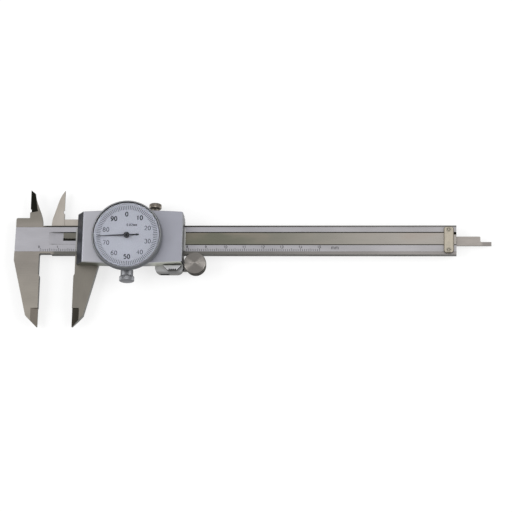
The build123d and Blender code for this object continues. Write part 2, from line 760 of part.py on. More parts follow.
# Bezel that turns on the boss with the dial and the crystal, kept by a spring ring
with BuildPart() as bezel:
    turned(
        [
            (spigot_radius + bore_clearance, bezel_back),
            (bezel_radius - 0.25, bezel_back),
            (bezel_radius, bezel_back + 0.25),
            (bezel_radius, bezel_step_z),
            (bezel_rim_radius, bezel_step_z + 0.3),
            (bezel_rim_radius, bezel_front - 0.3),
            (bezel_rim_radius - 0.2, bezel_front),
            (crystal_seat, bezel_front),
            (crystal_seat, 13.4),
            (crystal_seat + 0.2, 13.4),
            (crystal_seat + 0.2, crystal_back),
            (crystal_seat, crystal_back),
            (crystal_seat, dial_seat),
            (spigot_radius + bore_clearance, dial_seat),
            (spigot_radius + bore_clearance, 10.35),
            (16.9, 10.35),
            (16.9, 9.65),
            (spigot_radius + bore_clearance, 9.65),
        ],
        jaw_opening + dial_x,
        0,
    )
keep(bezel.part, "bezel")

with BuildPart() as bezel_spring_ring:
    with BuildSketch(dial_plane(spring_ring_z[0])):
        Circle(16.5)
        Circle(15.85, mode=Mode.SUBTRACT)
        with Locations((0, spigot_radius)):
            Rectangle(3.0, 2.0, mode=Mode.SUBTRACT)
    extrude(amount=spring_ring_z[1] - spring_ring_z[0])
keep(bezel_spring_ring.part, "bezel_spring_ring")

with BuildPart() as dial_face:
    rounds(dial_plane(dial_seat), [(0, 0)], crystal_seat - 0.1, 0.4)
    rounds(dial_plane(dial_seat), [(0, 0)], 1.2, 0.4, mode=Mode.SUBTRACT)
keep(dial_face.part, "dial_face")

with BuildPart() as dial_spacer:
    rounds(dial_plane(dial_seat + 0.4), [(0, 0)], crystal_seat - 0.05, crystal_back - dial_seat - 0.4)
    rounds(dial_plane(dial_seat + 0.4), [(0, 0)], crystal_seat - 0.5, 2, mode=Mode.SUBTRACT)
keep(dial_spacer.part, "dial_spacer")

with BuildPart() as crystal:
    rounds(dial_plane(crystal_back), [(0, 0)], crystal_seat + 0.15, 0.75)
keep(crystal.part, "crystal")

# Clamp for the bezel: a bush with a screw whose point lifts a small plunger against the bezel
with BuildPart() as clamp_bush:
    turned_across(
        [
            (1.45, -20.9),
            (clamp_bush_radius, -20.9),
            (clamp_bush_radius, -17.75),
            (2.6, -17.75),
            (2.6, -13.7),
            (1.45, -13.7),
        ],
        jaw_opening + dial_x,
        clamp_z,
    )
    rounds(dial_plane(clamp_z), [(0, plunger_y)], 0.8, 4, mode=Mode.SUBTRACT)
keep(clamp_bush.part, "clamp_bush")

with BuildPart() as clamp_plunger:
    plunger_back = clamp_z + 1.38
    rounds(dial_plane(plunger_back), [(0, plunger_y)], 0.7, bezel_back - 0.05 - plunger_back)
    chamfer(clamp_plunger.edges().filter_by(GeomType.CIRCLE), 0.15)
keep(clamp_plunger.part, "clamp_plunger")

with BuildPart() as bezel_clamp_screw:
    turned_across(
        [
            (0, -23.9),
            (3.55, -23.9),
            (4.0, -23.5),
            (4.0, -21.3),
            (3.6, -20.95),
            (1.3, -20.95),
            (1.3, -14.0),
            (1.25, -13.4),
            (1.25, -9.2),
            (0.7, -8.7),
            (0, -8.7),
        ],
        jaw_opening + dial_x,
        clamp_z,
    )
keep(bezel_clamp_screw.part, "bezel_clamp_screw")

# Screw that locks the slider on the beam through the gib strip
with BuildPart() as lock_screw:
    turned_across(
        [
            (0, gib_back + 0.05),
            (0.8, gib_back + 0.05),
            (1.25, 9.5),
            (1.25, 16.1),
            (2.3, 16.1),
            (2.3, 17.3),
            (2.9, 17.6),
            (3.3, 18.0),
            (3.3, 20.1),
            (2.9, 20.5),
            (0, 20.5),
        ],
        jaw_opening + lock_screw_x,
        0,
    )
keep(lock_screw.part, "lock_screw")

# Thumb roller on its arm, which presses it against the lower edge of the beam
arm_ends = (46.0, roller_x)
arm_sides = (-16.6, -12.5)
with BuildPart() as roller_arm:
    with BuildSketch(slider_plane(arm_back)):
        with BuildLine():
            FilletPolyline(
                (arm_ends[0], arm_sides[1]),
                (arm_ends[0], arm_sides[0]),
                (arm_ends[1], arm_sides[0]),
                (arm_ends[1], -8.9),
                (59.4, -8.9),
                (59.4, arm_sides[1]),
                (arm_ends[0], arm_sides[1]),
                radius=0.5,
            )
        make_face()
        with Locations((roller_x, roller_y + 0.2)):
            Circle(4.0)
    extrude(amount=-slider_front - arm_back)
    rounds(slider_plane(arm_back), arm_screw_places, 0.75, 2, mode=Mode.SUBTRACT)
    rounds(slider_plane(arm_back), [(roller_x, roller_y)], 1.2, 2, mode=Mode.SUBTRACT)
keep(roller_arm.part, "roller_arm")

with BuildPart() as roller_arm_screws:
    rounds(slider_plane(arm_back + 0.02), arm_screw_places, 0.7, 3.2)
keep(roller_arm_screws.part, "roller_arm_screws")

with BuildPart() as roller_axle:
    turned(
        [
            (0, arm_back),
            (1.2, arm_back),
            (1.2, -slider_front),
            (1.5, -slider_front),
            (1.5, 2.9),
            (1.15, 2.9),
            (1.15, 3.3),
            (1.5, 3.3),
            (1.3, 3.9),
            (0, 3.9),
        ],
        jaw_opening + roller_x,
        roller_y,
    )
keep(roller_axle.part, "roller_axle")

with BuildPart() as roller_snap_ring:
    with BuildSketch(slider_plane(2.95)):
        with Locations((roller_x, roller_y)):
            Circle(1.85)
            Circle(1.2, mode=Mode.SUBTRACT)
        with Locations((roller_x + 1.5, roller_y)):
            Rectangle(1.4, 0.8, mode=Mode.SUBTRACT)
    extrude(amount=0.3)
keep(roller_snap_ring.part, "roller_snap_ring")

with BuildPart() as thumb_roller:
    turned(
        [
            (1.55, -slider_front + 0.1),
            (drive_radius, -slider_front + 0.1),
            (drive_radius, 2.0),
            (roller_radius - 0.2, 2.0),
            (roller_radius, 2.2),
            (roller_radius, 5.2),
            (roller_radius - 0.4, 5.6),
            (0, 5.6),
            (0, 4.1),
            (1.55, 4.1),
            (1.55, 3.45),
            (2.0, 3.45),
            (2.0, 2.75),
            (1.55, 2.75),
        ],
        jaw_opening + roller_x,
        roller_y,
    )
keep(thumb_roller.part, "thumb_roller")
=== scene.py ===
from math import cos, pi, radians, sin

import bmesh
import bpy
from mathutils import Euler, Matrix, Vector


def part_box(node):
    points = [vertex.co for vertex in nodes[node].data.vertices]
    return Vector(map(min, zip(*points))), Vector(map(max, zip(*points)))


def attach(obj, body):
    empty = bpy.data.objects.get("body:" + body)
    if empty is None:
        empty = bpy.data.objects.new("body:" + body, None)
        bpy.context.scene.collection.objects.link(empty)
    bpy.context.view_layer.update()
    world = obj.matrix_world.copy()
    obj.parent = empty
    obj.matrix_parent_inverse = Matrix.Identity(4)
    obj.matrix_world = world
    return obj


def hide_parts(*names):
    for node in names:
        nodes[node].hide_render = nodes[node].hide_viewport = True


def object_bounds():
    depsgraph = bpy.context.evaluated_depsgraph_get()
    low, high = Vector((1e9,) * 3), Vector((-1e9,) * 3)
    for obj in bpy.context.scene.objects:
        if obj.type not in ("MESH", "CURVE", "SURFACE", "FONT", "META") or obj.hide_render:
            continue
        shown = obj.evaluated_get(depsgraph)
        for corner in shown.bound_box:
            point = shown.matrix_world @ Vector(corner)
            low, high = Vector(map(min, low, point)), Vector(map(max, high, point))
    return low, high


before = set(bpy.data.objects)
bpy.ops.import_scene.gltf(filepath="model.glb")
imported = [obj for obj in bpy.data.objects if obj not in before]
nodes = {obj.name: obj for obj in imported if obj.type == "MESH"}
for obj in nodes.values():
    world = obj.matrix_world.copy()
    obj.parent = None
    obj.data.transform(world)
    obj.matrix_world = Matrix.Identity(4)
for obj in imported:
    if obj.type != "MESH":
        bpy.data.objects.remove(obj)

cad_low, cad_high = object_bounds()
mm = 0.001

# The bench: a pale floor that the caliper lies on, an even white surround and two soft lamps at its
# sides. The camera looks down from in front and a little from the right, from over a metre away.
photo_width = 512
camera_place = Vector((0.20048, -0.26317, 1.07414))
camera_turn = Euler((radians(15.081), radians(4.186), radians(1.158)))
focal_pixels = 2092.9
sensor_width = 36.0
nearest_seen = 0.05
surround_light = 0.6
floor_glow = 0.7
lamp_size = 0.8
lamp_power = 9.0
white = (1.0, 1.0, 1.0, 1.0)
lamp_places = {"left_lamp": (-0.85, 0.05, 0.5), "right_lamp": (1.05, 0.05, 0.5)}


def seen_rays(tree):
    """1 for rays from the camera, from metal and through glass."""
    path = tree.nodes.new("ShaderNodeLightPath")
    seen = path.outputs["Is Camera Ray"]
    for ray in ("Is Glossy Ray", "Is Transmission Ray"):
        either = tree.nodes.new("ShaderNodeMath")
        either.operation = "MAXIMUM"
        tree.links.new(seen, either.inputs[0])
        tree.links.new(path.outputs[ray], either.inputs[1])
        seen = either.outputs[0]
    return seen


def whiten(tree, seen, surface, bright, output):
    """Shows the bright shader instead of the surface where the seen value says so."""
    chosen = tree.nodes.new("ShaderNodeMixShader")
    for socket, value in zip(chosen.inputs, (seen, surface, bright)):
        tree.links.new(value, socket)
    tree.links.new(chosen.outputs[0], output.inputs["Surface"])


world = bpy.data.worlds.new("surround")
bpy.context.scene.world = world
world.use_nodes = True
world_tree = world.node_tree
sky = world_tree.nodes["Background"]
sky.inputs["Strength"].default_value = surround_light
sky.inputs["Color"].default_value = white
white_wall = world_tree.nodes.new("ShaderNodeBackground")
white_wall.inputs["Color"].default_value = white
world_output = world_tree.nodes["World Output"]
whiten(world_tree, seen_rays(world_tree), sky.outputs[0], white_wall.outputs[0], world_output)

floor_half = 3.0
floor_colour = (0.97, 0.97, 0.97, 1.0)
floor_roughness = 0.9
floor_gloss = 0.1
floor_mesh = bpy.data.meshes.new("floor")
floor_corners = [
    (side_x * floor_half, side_y * floor_half, cad_low.z)
    for side_x, side_y in ((-1, -1), (1, -1), (1, 1), (-1, 1))
]
floor_mesh.from_pydata(floor_corners, [], [(0, 1, 2, 3)])
floor = bpy.data.objects.new("floor", floor_mesh)
bpy.context.collection.objects.link(floor)
floor_paint = bpy.data.materials.new("floor_paint")
floor_paint.use_nodes = True
floor_tree = floor_paint.node_tree
matt = floor_tree.nodes["Principled BSDF"]
matt.inputs["Base Color"].default_value = floor_colour
matt.inputs["Roughness"].default_value = floor_roughness
matt.inputs["Specular IOR Level"].default_value = floor_gloss
glow = floor_tree.nodes.new("ShaderNodeEmission")
part_seen = floor_tree.nodes.new("ShaderNodeMath")
part_seen.operation = "MULTIPLY"
part_seen.inputs[1].default_value = floor_glow
floor_tree.links.new(seen_rays(floor_tree), part_seen.inputs[0])
floor_output = floor_tree.nodes["Material Output"]
whiten(floor_tree, part_seen.outputs[0], matt.outputs[0], glow.outputs[0], floor_output)
floor.data.materials.append(floor_paint)

for lamp_name, lamp_place in lamp_places.items():
    lamp = bpy.data.lights.new(lamp_name, "AREA")
    lamp.size = lamp_size
    lamp.energy = lamp_power
    holder = bpy.data.objects.new(lamp_name, lamp)
    bpy.context.collection.objects.link(holder)
    holder.location = lamp_place
    aim = (cad_low + cad_high) / 2 - holder.location
    holder.rotation_euler = aim.to_track_quat("-Z", "Y").to_euler()

lens = bpy.data.cameras.new("camera")
lens.sensor_width = sensor_width
lens.lens = focal_pixels / photo_width * sensor_width
lens.clip_start = nearest_seen
camera = bpy.data.objects.new("camera", lens)
bpy.context.collection.objects.link(camera)
camera.location = camera_place
camera.rotation_euler = camera_turn
bpy.context.scene.camera = camera
bpy.context.scene.view_settings.view_transform = "Standard"

# The beam: one bar of hardened stainless steel with the fixed jaws. Its jaws are ground, the band that
# carries the scale is satin chromed a little deeper, and two ground lands run along its edges.
beam_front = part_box("main_beam")[1].z
dial_low, dial_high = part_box("dial_face")
centre_y = (dial_low.y + dial_high.y) / 2
band_edges = (centre_y - 6.3 * mm, centre_y + 7.2 * mm)
jaw_corner_x = 6.1 * mm
inside_facet_y = centre_y + 16.1 * mm
outside_facet_y = centre_y - 37.5 * mm


def paint(red, green, blue):
    """A colour as it shows on a screen, 0 to 255, in the values that a shader takes."""
    return tuple(((v / 255 + 0.055) / 1.055) ** 2.4 for v in (red, green, blue)) + (1.0,)


class Finish:
    """A surface finish. It starts with one colour, and each call lays something over it."""

    noise_low = 0.3
    noise_high = 0.7
    edge_starts = 0.99
    edge_full = 0.85
    mix_inputs = (0, 6, 7)
    mix_result = 2

    def __init__(self, name, colour, metallic=1.0, edge_radius=0.1 * mm):
        self.material = bpy.data.materials.new(name)
        self.material.use_nodes = True
        self.tree = self.material.node_tree
        self.shader = self.tree.nodes["Principled BSDF"]
        self.shader.inputs["Metallic"].default_value = metallic
        self.colour = paint(*colour)
        here = self.add("ShaderNodeTexCoord")
        self.place = here.outputs["Object"]
        self.x, self.y, self.z = self.add("ShaderNodeSeparateXYZ", Vector=self.place).outputs
        facing = self.add("ShaderNodeSeparateXYZ", Vector=here.outputs["Normal"])
        self.facing_x, self.facing_y, self.facing_z = facing.outputs
        self.normal = self.add("ShaderNodeBevel", Radius=edge_radius).outputs["Normal"]

    def add(self, kind, settings=(), **inputs):
        """Adds a node; an input is a number, a colour or another node's output."""
        node = self.tree.nodes.new(kind)
        for setting, value in dict(settings).items():
            setattr(node, setting, value)
        for socket, value in inputs.items():
            self.plug(node.inputs[socket.replace("_", " ")], value)
        return node

    def plug(self, socket, value):
        """Joins another node's output to a socket, or sets the socket to a value."""
        if isinstance(value, bpy.types.NodeSocket):
            self.tree.links.new(value, socket)
        else:
            socket.default_value = value

    def reckon(self, kind, operation, first, second):
        """Works something out from two values."""
        node = self.add(kind, {"operation": operation})
        self.plug(node.inputs[0], first)
        self.plug(node.inputs[1], second)
        return node

    def reach(self, axis):
        """The distance from an upright axis."""
        flat_place = self.add("ShaderNodeCombineXYZ", X=self.x, Y=self.y).outputs[0]
        return self.reckon("ShaderNodeVectorMath", "DISTANCE", flat_place, axis).outputs["Value"]

    def rise(self, value, low, high):
        """0 below low, 1 above high, with a smooth rise between; high may be the lower one."""
        settings = {"interpolation_type": "SMOOTHSTEP"}
        node = self.add("ShaderNodeMapRange", settings, Value=value, From_Min=low, From_Max=high)
        return node.outputs["Result"]

    def both(self, *masks):
        """Where all the masks hold."""
        product = masks[0]
        for mask in masks[1:]:
            product = self.reckon("ShaderNodeMath", "MULTIPLY", product, mask).outputs[0]
        return product

    def between(self, value, low, high, soft):
        """1 between low and high, with a soft step at both."""
        above = self.rise(value, low - soft, low + soft)
        below = self.rise(value, high + soft, high - soft)
        return self.both(above, below)

    def walls(self):
        """The faces that stand upright."""
        return self.between(self.facing_z, -0.5, 0.5, 0.1)

    def slopes(self):
        """The faces ground at a slant to the front."""
        return self.between(self.facing_z, 0.7, 0.985, 0.005)

    def mixed(self, mask, first, second):
        """The second colour where the mask holds, and the first one elsewhere."""
        node = self.add("ShaderNodeMix", {"data_type": "RGBA"})
        for socket, value in zip(self.mix_inputs, (mask, first, second)):
            self.plug(node.inputs[socket], value)
        return node.outputs[self.mix_result]

    def lay(self, mask, colour):
        """Another colour where the mask holds."""
        if isinstance(colour, tuple):
            colour = paint(*colour)
        self.colour = self.mixed(mask, self.colour, colour)

    def grain(self, size, stretch=(1, 1, 1), detail=3.0):
        """Noise of a size in metres, drawn out along an axis by the stretch."""
        scale = tuple(1 / (size * factor) for factor in stretch)
        drawn_out = self.add("ShaderNodeMapping", Vector=self.place, Scale=scale)
        noise = self.add("ShaderNodeTexNoise", Vector=drawn_out.outputs[0], Scale=1.0, Detail=detail)
        return noise.outputs[0]

    def spread(self, grain, low, high, clamp=True):
        """The grain's usual values, spread from low to high."""
        node = self.add("ShaderNodeMapRange", {"clamp": clamp}, Value=grain, To_Min=low, To_Max=high)
        self.plug(node.inputs["From Min"], self.noise_low)
        self.plug(node.inputs["From Max"], self.noise_high)
        return node.outputs["Result"]

    def shade(self, grain, amount):
        """Lightens and darkens the colour by the grain."""
        level = self.spread(grain, 1 - amount, 1 + amount, clamp=False)
        node = self.add("ShaderNodeHueSaturation", Color=self.colour, Value=level)
        self.colour = node.outputs["Color"]

    def roughen(self, grain, low, high):
        """Roughness that follows the grain."""
        self.plug(self.shader.inputs["Roughness"], self.spread(grain, low, high))

    def raise_by(self, grain, depth):
        """Relief that follows the grain, with its depth in metres."""
        bump = self.add("ShaderNodeBump", Height=grain, Distance=depth, Strength=1.0, Normal=self.normal)
        self.normal = bump.outputs["Normal"]

    def wear(self, colour, amount):
        """Edges in another colour where the rounded normal leaves the flat one: bright worn edges, or
        dark edges that are painted edge shade.
        """
        flat = self.add("ShaderNodeNewGeometry").outputs["Normal"]
        alike = self.reckon("ShaderNodeVectorMath", "DOT_PRODUCT", self.normal, flat).outputs["Value"]
        at_edge = self.rise(alike, self.edge_starts, self.edge_full)
        self.lay(self.both(at_edge, amount), colour)

    def done(self):
        """Joins what was laid to the shader, and gives the finished material."""
        self.plug(self.shader.inputs["Base Color"], self.colour)
        self.plug(self.shader.inputs["Normal"], self.normal)
        return self.material


def dress(node_name, material):
    """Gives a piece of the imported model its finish."""
    slots = nodes[node_name].data.materials
    slots.clear()
    slots.append(material)


beam_steel = Finish("beam_steel", (133, 128, 122), edge_radius=0.2 * mm)
front = beam_steel.rise(beam_steel.facing_z, 0.8, 0.99)
lower_jaw = beam_steel.rise(beam_steel.y, centre_y - 10 * mm, centre_y - 40 * mm)
beam_steel.lay(lower_jaw, (143, 138, 130))
upper_jaw = beam_steel.rise(beam_steel.y, centre_y + 8 * mm, centre_y + 12 * mm)
beam_steel.lay(upper_jaw, (122, 118, 111))
# Painted reflection: the ground lands run from dark at the left end of the beam to light at the right.
along = beam_steel.rise(beam_steel.x, 60 * mm, 215 * mm)
land_painted_reflection = beam_steel.mixed(along, paint(97, 96, 92), paint(144, 140, 138))
past_jaw = beam_steel.rise(beam_steel.x, jaw_corner_x, 8 * mm)
beam_steel.lay(beam_steel.both(front, past_jaw), land_painted_reflection)
upper_land_painted_reflection = beam_steel.mixed(along, paint(58, 57, 54), paint(112, 110, 108))
above_band = beam_steel.rise(beam_steel.y, centre_y + 7.1 * mm, centre_y + 7.3 * mm)
past_face = beam_steel.rise(beam_steel.x, 0.0, 3 * mm)
beam_steel.lay(beam_steel.both(above_band, past_face), upper_land_painted_reflection)
on_band = beam_steel.between(beam_steel.y, *band_edges, 0.02 * mm)
satin = beam_steel.mixed(along, paint(160, 159, 164), paint(164, 162, 164))
beam_steel.lay(beam_steel.both(front, on_band), satin)
deep = beam_steel.rise(beam_steel.z, beam_front - 0.3 * mm, beam_front - 0.6 * mm)
rack_low, rack_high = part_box("rack")
# Painted shade: the floor of the groove, past its run-out at the left, is made dark as the deep slot
# under the rack.
groove_shade_span = beam_steel.rise(beam_steel.x, 18 * mm, 50 * mm)
beam_steel.lay(beam_steel.both(front, on_band, deep, groove_shade_span), (38, 38, 34))
# Painted shadow: a dark band on the groove floor along the rack's teeth, and a dimmer line along the
# groove's lower wall.
beside_rack = beam_steel.rise(beam_steel.x, rack_low.x - 0.6 * mm, rack_low.x)
beside_teeth = beam_steel.between(beam_steel.y, centre_y - 0.1 * mm, centre_y + 1.3 * mm, 0.15 * mm)
beside_wall = beam_steel.between(beam_steel.y, centre_y - 2.5 * mm, centre_y - 2.0 * mm, 0.05 * mm)
beam_steel.lay(beam_steel.both(front, deep, beside_rack, beside_teeth), (34, 34, 30))
beam_steel.lay(beam_steel.both(front, deep, beside_wall), (96, 95, 92))
# Painted shade: the upright faces of beam and jaws are darker, and the walls of the groove in the band
# darker still.
sides = beam_steel.walls()
beam_steel.lay(sides, (56, 54, 50))
from_face = beam_steel.rise(beam_steel.x, -2 * mm, 0.0)
beam_steel.lay(beam_steel.both(sides, on_band, from_face), (34, 33, 30))
# Painted reflection: the slanted facets at the jaw tips are darker, near black on the inside jaw.
slanted = beam_steel.slopes()
inside_tip = beam_steel.rise(beam_steel.y, centre_y, inside_facet_y)
beam_steel.lay(beam_steel.both(slanted, inside_tip), (14, 14, 11))
outside_tip = beam_steel.rise(beam_steel.y, centre_y, outside_facet_y)
beam_steel.lay(beam_steel.both(slanted, outside_tip), (110, 104, 97))
cloud = beam_steel.grain(9 * mm, (2.5, 1, 1))
scratches = beam_steel.grain(0.12 * mm, (60, 1, 1), detail=2.0)
beam_steel.shade(cloud, 0.035)
beam_steel.shade(scratches, 0.05)
beam_steel.roughen(cloud, 0.36, 0.5)
# The dark edges are painted edge shade.
beam_steel.wear((74, 71, 66), 0.7)
beam_steel.raise_by(scratches, 0.002 * mm)
dress("main_beam", beam_steel.done())

# The scale of the beam: lines for every millimetre with a number at each centimetre, engraved in the
# satin band and filled with black. The word for the unit stands after the last number.
scale_zero_x = -0.1 * mm
scale_length = 150
line_foot_y = centre_y - 6.1 * mm
line_heights = {1: 1.15 * mm, 5: 1.5 * mm, 10: 1.75 * mm}
line_width = 0.24 * mm
number_y = centre_y - 3.75 * mm
number_height = 1.25 * mm
unit_height = 2.2 * mm
unit_gap = 8.2
unit_drop = 0.3 * mm
number_shifts = {1: -0.75 * mm, 2: -0.2 * mm}
band_front = beam_front - 0.06 * mm
fill_height = 0.012 * mm


def arc(x, y, radius_x, radius_y, start, end, steps=12):
    """Points of an arc of an ellipse, from one angle to another."""
    turn = [radians(start + (end - start) * step / steps) for step in range(steps + 1)]
    return [(x + radius_x * cos(angle), y + radius_y * sin(angle)) for angle in turn]


six = [arc(0.3, 0.3, 0.28, 0.3, 0, 360), arc(0.56, 0.34, 0.54, 0.66, 88, 178)]
engraver_strokes = {
    "0": [arc(0.3, 0.5, 0.28, 0.5, 0, 360, 20)],
    "1": [[(0.1, 0.8), (0.34, 1.0), (0.34, 0.0)]],
    "2": [arc(0.3, 0.72, 0.27, 0.28, 165, -38) + [(0.02, 0.0), (0.6, 0.0)]],
    "3": [arc(0.29, 0.76, 0.25, 0.24, 155, -90), arc(0.29, 0.27, 0.29, 0.27, 90, -155)],
    "4": [[(0.46, 0.0), (0.46, 1.0), (0.02, 0.3), (0.62, 0.3)]],
    "5": [[(0.54, 1.0), (0.12, 1.0), (0.07, 0.56)] + arc(0.28, 0.32, 0.3, 0.32, 130, -145)],
    "6": six,
    "7": [[(0.03, 1.0), (0.58, 1.0), (0.22, 0.0)]],
    "8": [arc(0.3, 0.76, 0.22, 0.24, 0, 360), arc(0.3, 0.27, 0.28, 0.27, 0, 360)],
    "9": [[(0.6 - x, 1.0 - y) for x, y in stroke] for stroke in six],
    ".": [[(0.05, 0.0), (0.05, 0.1)]],
    "m": [
        [(0.02, 0.0), (0.02, 0.64)],
        arc(0.19, 0.44, 0.17, 0.2, 180, 0) + [(0.36, 0.0)],
        arc(0.53, 0.44, 0.17, 0.2, 180, 0) + [(0.7, 0.0)],
    ],
}
stroke_widths = {".": 0.1, "m": 0.72}
letter_width = 0.6
letter_gap = 0.24


def written(text, middle, height):
    """Strokes of a word or number, centred on a point."""
    widths = [stroke_widths.get(letter, letter_width) for letter in text]
    left = -(sum(widths) + letter_gap * (len(text) - 1)) / 2
    strokes = []
    for letter, width in zip(text, widths):
        for stroke in engraver_strokes[letter]:
            strokes.append([
                (middle[0] + (left + x) * height, middle[1] + (y - 0.5) * height) for x, y in stroke
            ])
        left += width + letter_gap
    return strokes


def made(name, shape):
    """Turns a drawn shape into an object of the scene."""
    mesh = bpy.data.meshes.new(name)
    shape.to_mesh(mesh)
    shape.free()
    piece = bpy.data.objects.new(name, mesh)
    bpy.context.collection.objects.link(piece)
    return piece


def filled_lines(name, lines, z, height):
    """A piece of flat ribbons that stand out by the height, from the points and the width of each."""
    shape = bmesh.new()
    for points, width in lines:
        rings = []
        for number, (x, y) in enumerate(points):
            before = points[max(number - 1, 0)]
            after = points[min(number + 1, len(points) - 1)]
            along = Vector((after[0] - before[0], after[1] - before[1], 0)).normalized()
            aside = Vector((-along.y, along.x, 0)) * width / 2
            middle = Vector((x, y, z))
            up = Vector((0, 0, height))
            left = middle - aside
            right = middle + aside
            spots = (left - up, right - up, right + up, left + up)
            rings.append([shape.verts.new(spot) for spot in spots])
        for first, second in zip(rings, rings[1:]):
            for side in range(4):
                after = (side + 1) % 4
                shape.faces.new((first[side], first[after], second[after], second[side]))
        shape.faces.new(rings[0])
        shape.faces.new(reversed(rings[-1]))
    bmesh.ops.recalc_face_normals(shape, faces=shape.faces)
    return made(name, shape)


def rank(number):
    """The kind of a scale's line: every tenth is the longest, and every fifth comes after it."""
    return 10 if number % 10 == 0 else 5 if number % 5 == 0 else 1


scale_lines = []
for millimetre in range(scale_length + 1):
    x = scale_zero_x + millimetre * mm
    line_top_y = line_foot_y + line_heights[rank(millimetre)]
    scale_lines.append(([(x, line_foot_y), (x, line_top_y)], line_width))
scale_numbers = []
for centimetre in range(scale_length // 10 + 1):
    text = str(centimetre)
    middle = (scale_zero_x + centimetre * 10 * mm + number_shifts[len(text)], number_y)
    scale_numbers += [(stroke, line_width) for stroke in written(text, middle, number_height)]
unit_place = (scale_zero_x + (scale_length + unit_gap) * mm, number_y - unit_drop)
scale_numbers += [(stroke, line_width) for stroke in written("mm", unit_place, unit_height)]

black_fill = Finish("black_fill", (24, 24, 28), metallic=0.0)
black_fill.shade(black_fill.grain(0.4 * mm), 0.25)
black_fill.roughen(black_fill.grain(0.15 * mm), 0.4, 0.7)
black_fill_material = black_fill.done()
scale_pieces = (("beam_scale_lines", scale_lines), ("beam_scale_numbers", scale_numbers))
for piece_name, lines in scale_pieces:
    piece = filled_lines(piece_name, lines, band_front, fill_height)
    piece.data.materials.append(black_fill_material)
    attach(piece, "beam")

# The rack: a machined steel bar pressed into the upper half of the groove, dark from its hardening,
# with the teeth that drive the pinion on its lower edge.
rack_steel = Finish("rack_steel", (106, 104, 97), edge_radius=0.04 * mm)
rack_cut = rack_steel.grain(0.1 * mm, (1, 20, 1))
rack_steel.shade(rack_steel.grain(4 * mm), 0.08)
rack_steel.shade(rack_cut, 0.08)
# Painted shade: the rack's upright faces are dark, and so is a strip along its top edge by the groove
# wall.
rack_steel.lay(rack_steel.walls(), (30, 30, 26))
rack_top_edge = rack_steel.rise(rack_steel.y, rack_high.y - 0.5 * mm, rack_high.y - 0.3 * mm)
rack_steel.lay(rack_top_edge, (40, 40, 36))
rack_steel.roughen(rack_cut, 0.3, 0.5)
rack_steel.wear((150, 148, 138), 0.5)
rack_steel.raise_by(rack_cut, 0.002 * mm)
dress("rack", rack_steel.done())

# The end stop: a small nickel plated strip with cut corners that keeps the cover strip down and the
# slider on the beam, held by two round-headed screws.
nickel = Finish("nickel", (182, 174, 159), edge_radius=0.2 * mm)
nickel_film = nickel.grain(1.6 * mm)
nickel.lay(nickel.rise(nickel_film, 0.45, 0.7), (170, 163, 150))
nickel.shade(nickel.grain(0.1 * mm, (1, 30, 1)), 0.05)
# Painted shade: the walls of the stop are dark.
stop_walls = nickel.between(nickel.facing_z, -0.6, 0.85, 0.05)
nickel.lay(stop_walls, (62, 58, 50))
stop_low, stop_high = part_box("end_plate")
# Painted shadow: a dark outline just inside each edge of the stop.
outline_width = 0.3 * mm
outline_fade = 0.5 * mm
for place, edge, inward in (
    (nickel.x, stop_low.x, 1),
    (nickel.x, stop_high.x, -1),
    (nickel.y, stop_low.y, 1),
    (nickel.y, stop_high.y, -1),
):
    shadow_outline = nickel.rise(place, edge + inward * outline_fade, edge + inward * outline_width)
    nickel.lay(shadow_outline, (98, 92, 83))
nickel.roughen(nickel_film, 0.32, 0.46)
# The dark edges are painted edge shade.
nickel.wear((70, 65, 56), 0.85)
nickel.raise_by(nickel.grain(0.3 * mm), 0.004 * mm)
dress("end_plate", nickel.done())

screws_low, screws_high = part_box("end_plate_screws")
screw_x = (screws_low.x + screws_high.x) / 2
screw_radius = (screws_high.x - screws_low.x) / 2
ring_inside = 0.62 * mm
ring_outside = 0.9 * mm
bright_screw = Finish("bright_screw", (178, 171, 157), edge_radius=0.03 * mm)
# A dark ring round each screw head.
for screw_y in (screws_low.y + screw_radius, screws_high.y - screw_radius):
    from_screw = bright_screw.reach((screw_x, screw_y, 0))
    dark_ring = bright_screw.between(from_screw, ring_inside, ring_outside, 0.08 * mm)
    bright_screw.lay(dark_ring, (52, 49, 42))
turning = bright_screw.grain(0.08 * mm)
bright_screw.shade(turning, 0.08)
# Painted shade: the screws' walls are darker.
screw_walls = bright_screw.between(bright_screw.facing_z, -0.6, 0.6, 0.1)
bright_screw.lay(screw_walls, (120, 114, 102))
bright_screw.roughen(turning, 0.28, 0.44)
bright_screw.wear((150, 144, 132), 0.4)
bright_screw.raise_by(turning, 0.002 * mm)
dress("end_plate_screws", bright_screw.done())

# The slider frame: one piece of ground steel with the sliding jaws, both rails, the boss of the lock
# screw and the rest for the thumb. The upper jaw and its shoulder are coloured lighter.
case_left_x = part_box("wiper_left")[0].x
inside_face_x = case_left_x - 6.9 * mm
slider_steel = Finish("slider_steel", (119, 115, 108), edge_radius=0.2 * mm)
jaw_height = slider_steel.rise(slider_steel.y, centre_y + 6 * mm, centre_y + 8 * mm)
slider_steel.lay(jaw_height, (166, 160, 153))
jaw_tip = slider_steel.rise(slider_steel.y, centre_y + 12 * mm, centre_y + 20 * mm)
slider_steel.lay(jaw_tip, (158, 152, 144))
tab_line = slider_steel.both(
    slider_steel.between(slider_steel.x, inside_face_x - 0.1 * mm, inside_face_x + 0.1 * mm, 0.05 * mm),
    slider_steel.rise(slider_steel.y, centre_y + 8 * mm, centre_y + 8.1 * mm),
    slider_steel.rise(slider_steel.y, centre_y + 12.1 * mm, centre_y + 11.9 * mm),
)
slider_steel.lay(tab_line, (110, 105, 98))
thumb_rest_x = (55 * mm, 58 * mm)
thumb = slider_steel.both(
    slider_steel.rise(slider_steel.x, *thumb_rest_x),
    slider_steel.rise(slider_steel.y, centre_y, centre_y - 8 * mm),
)
slider_steel.lay(thumb, (180, 180, 182))
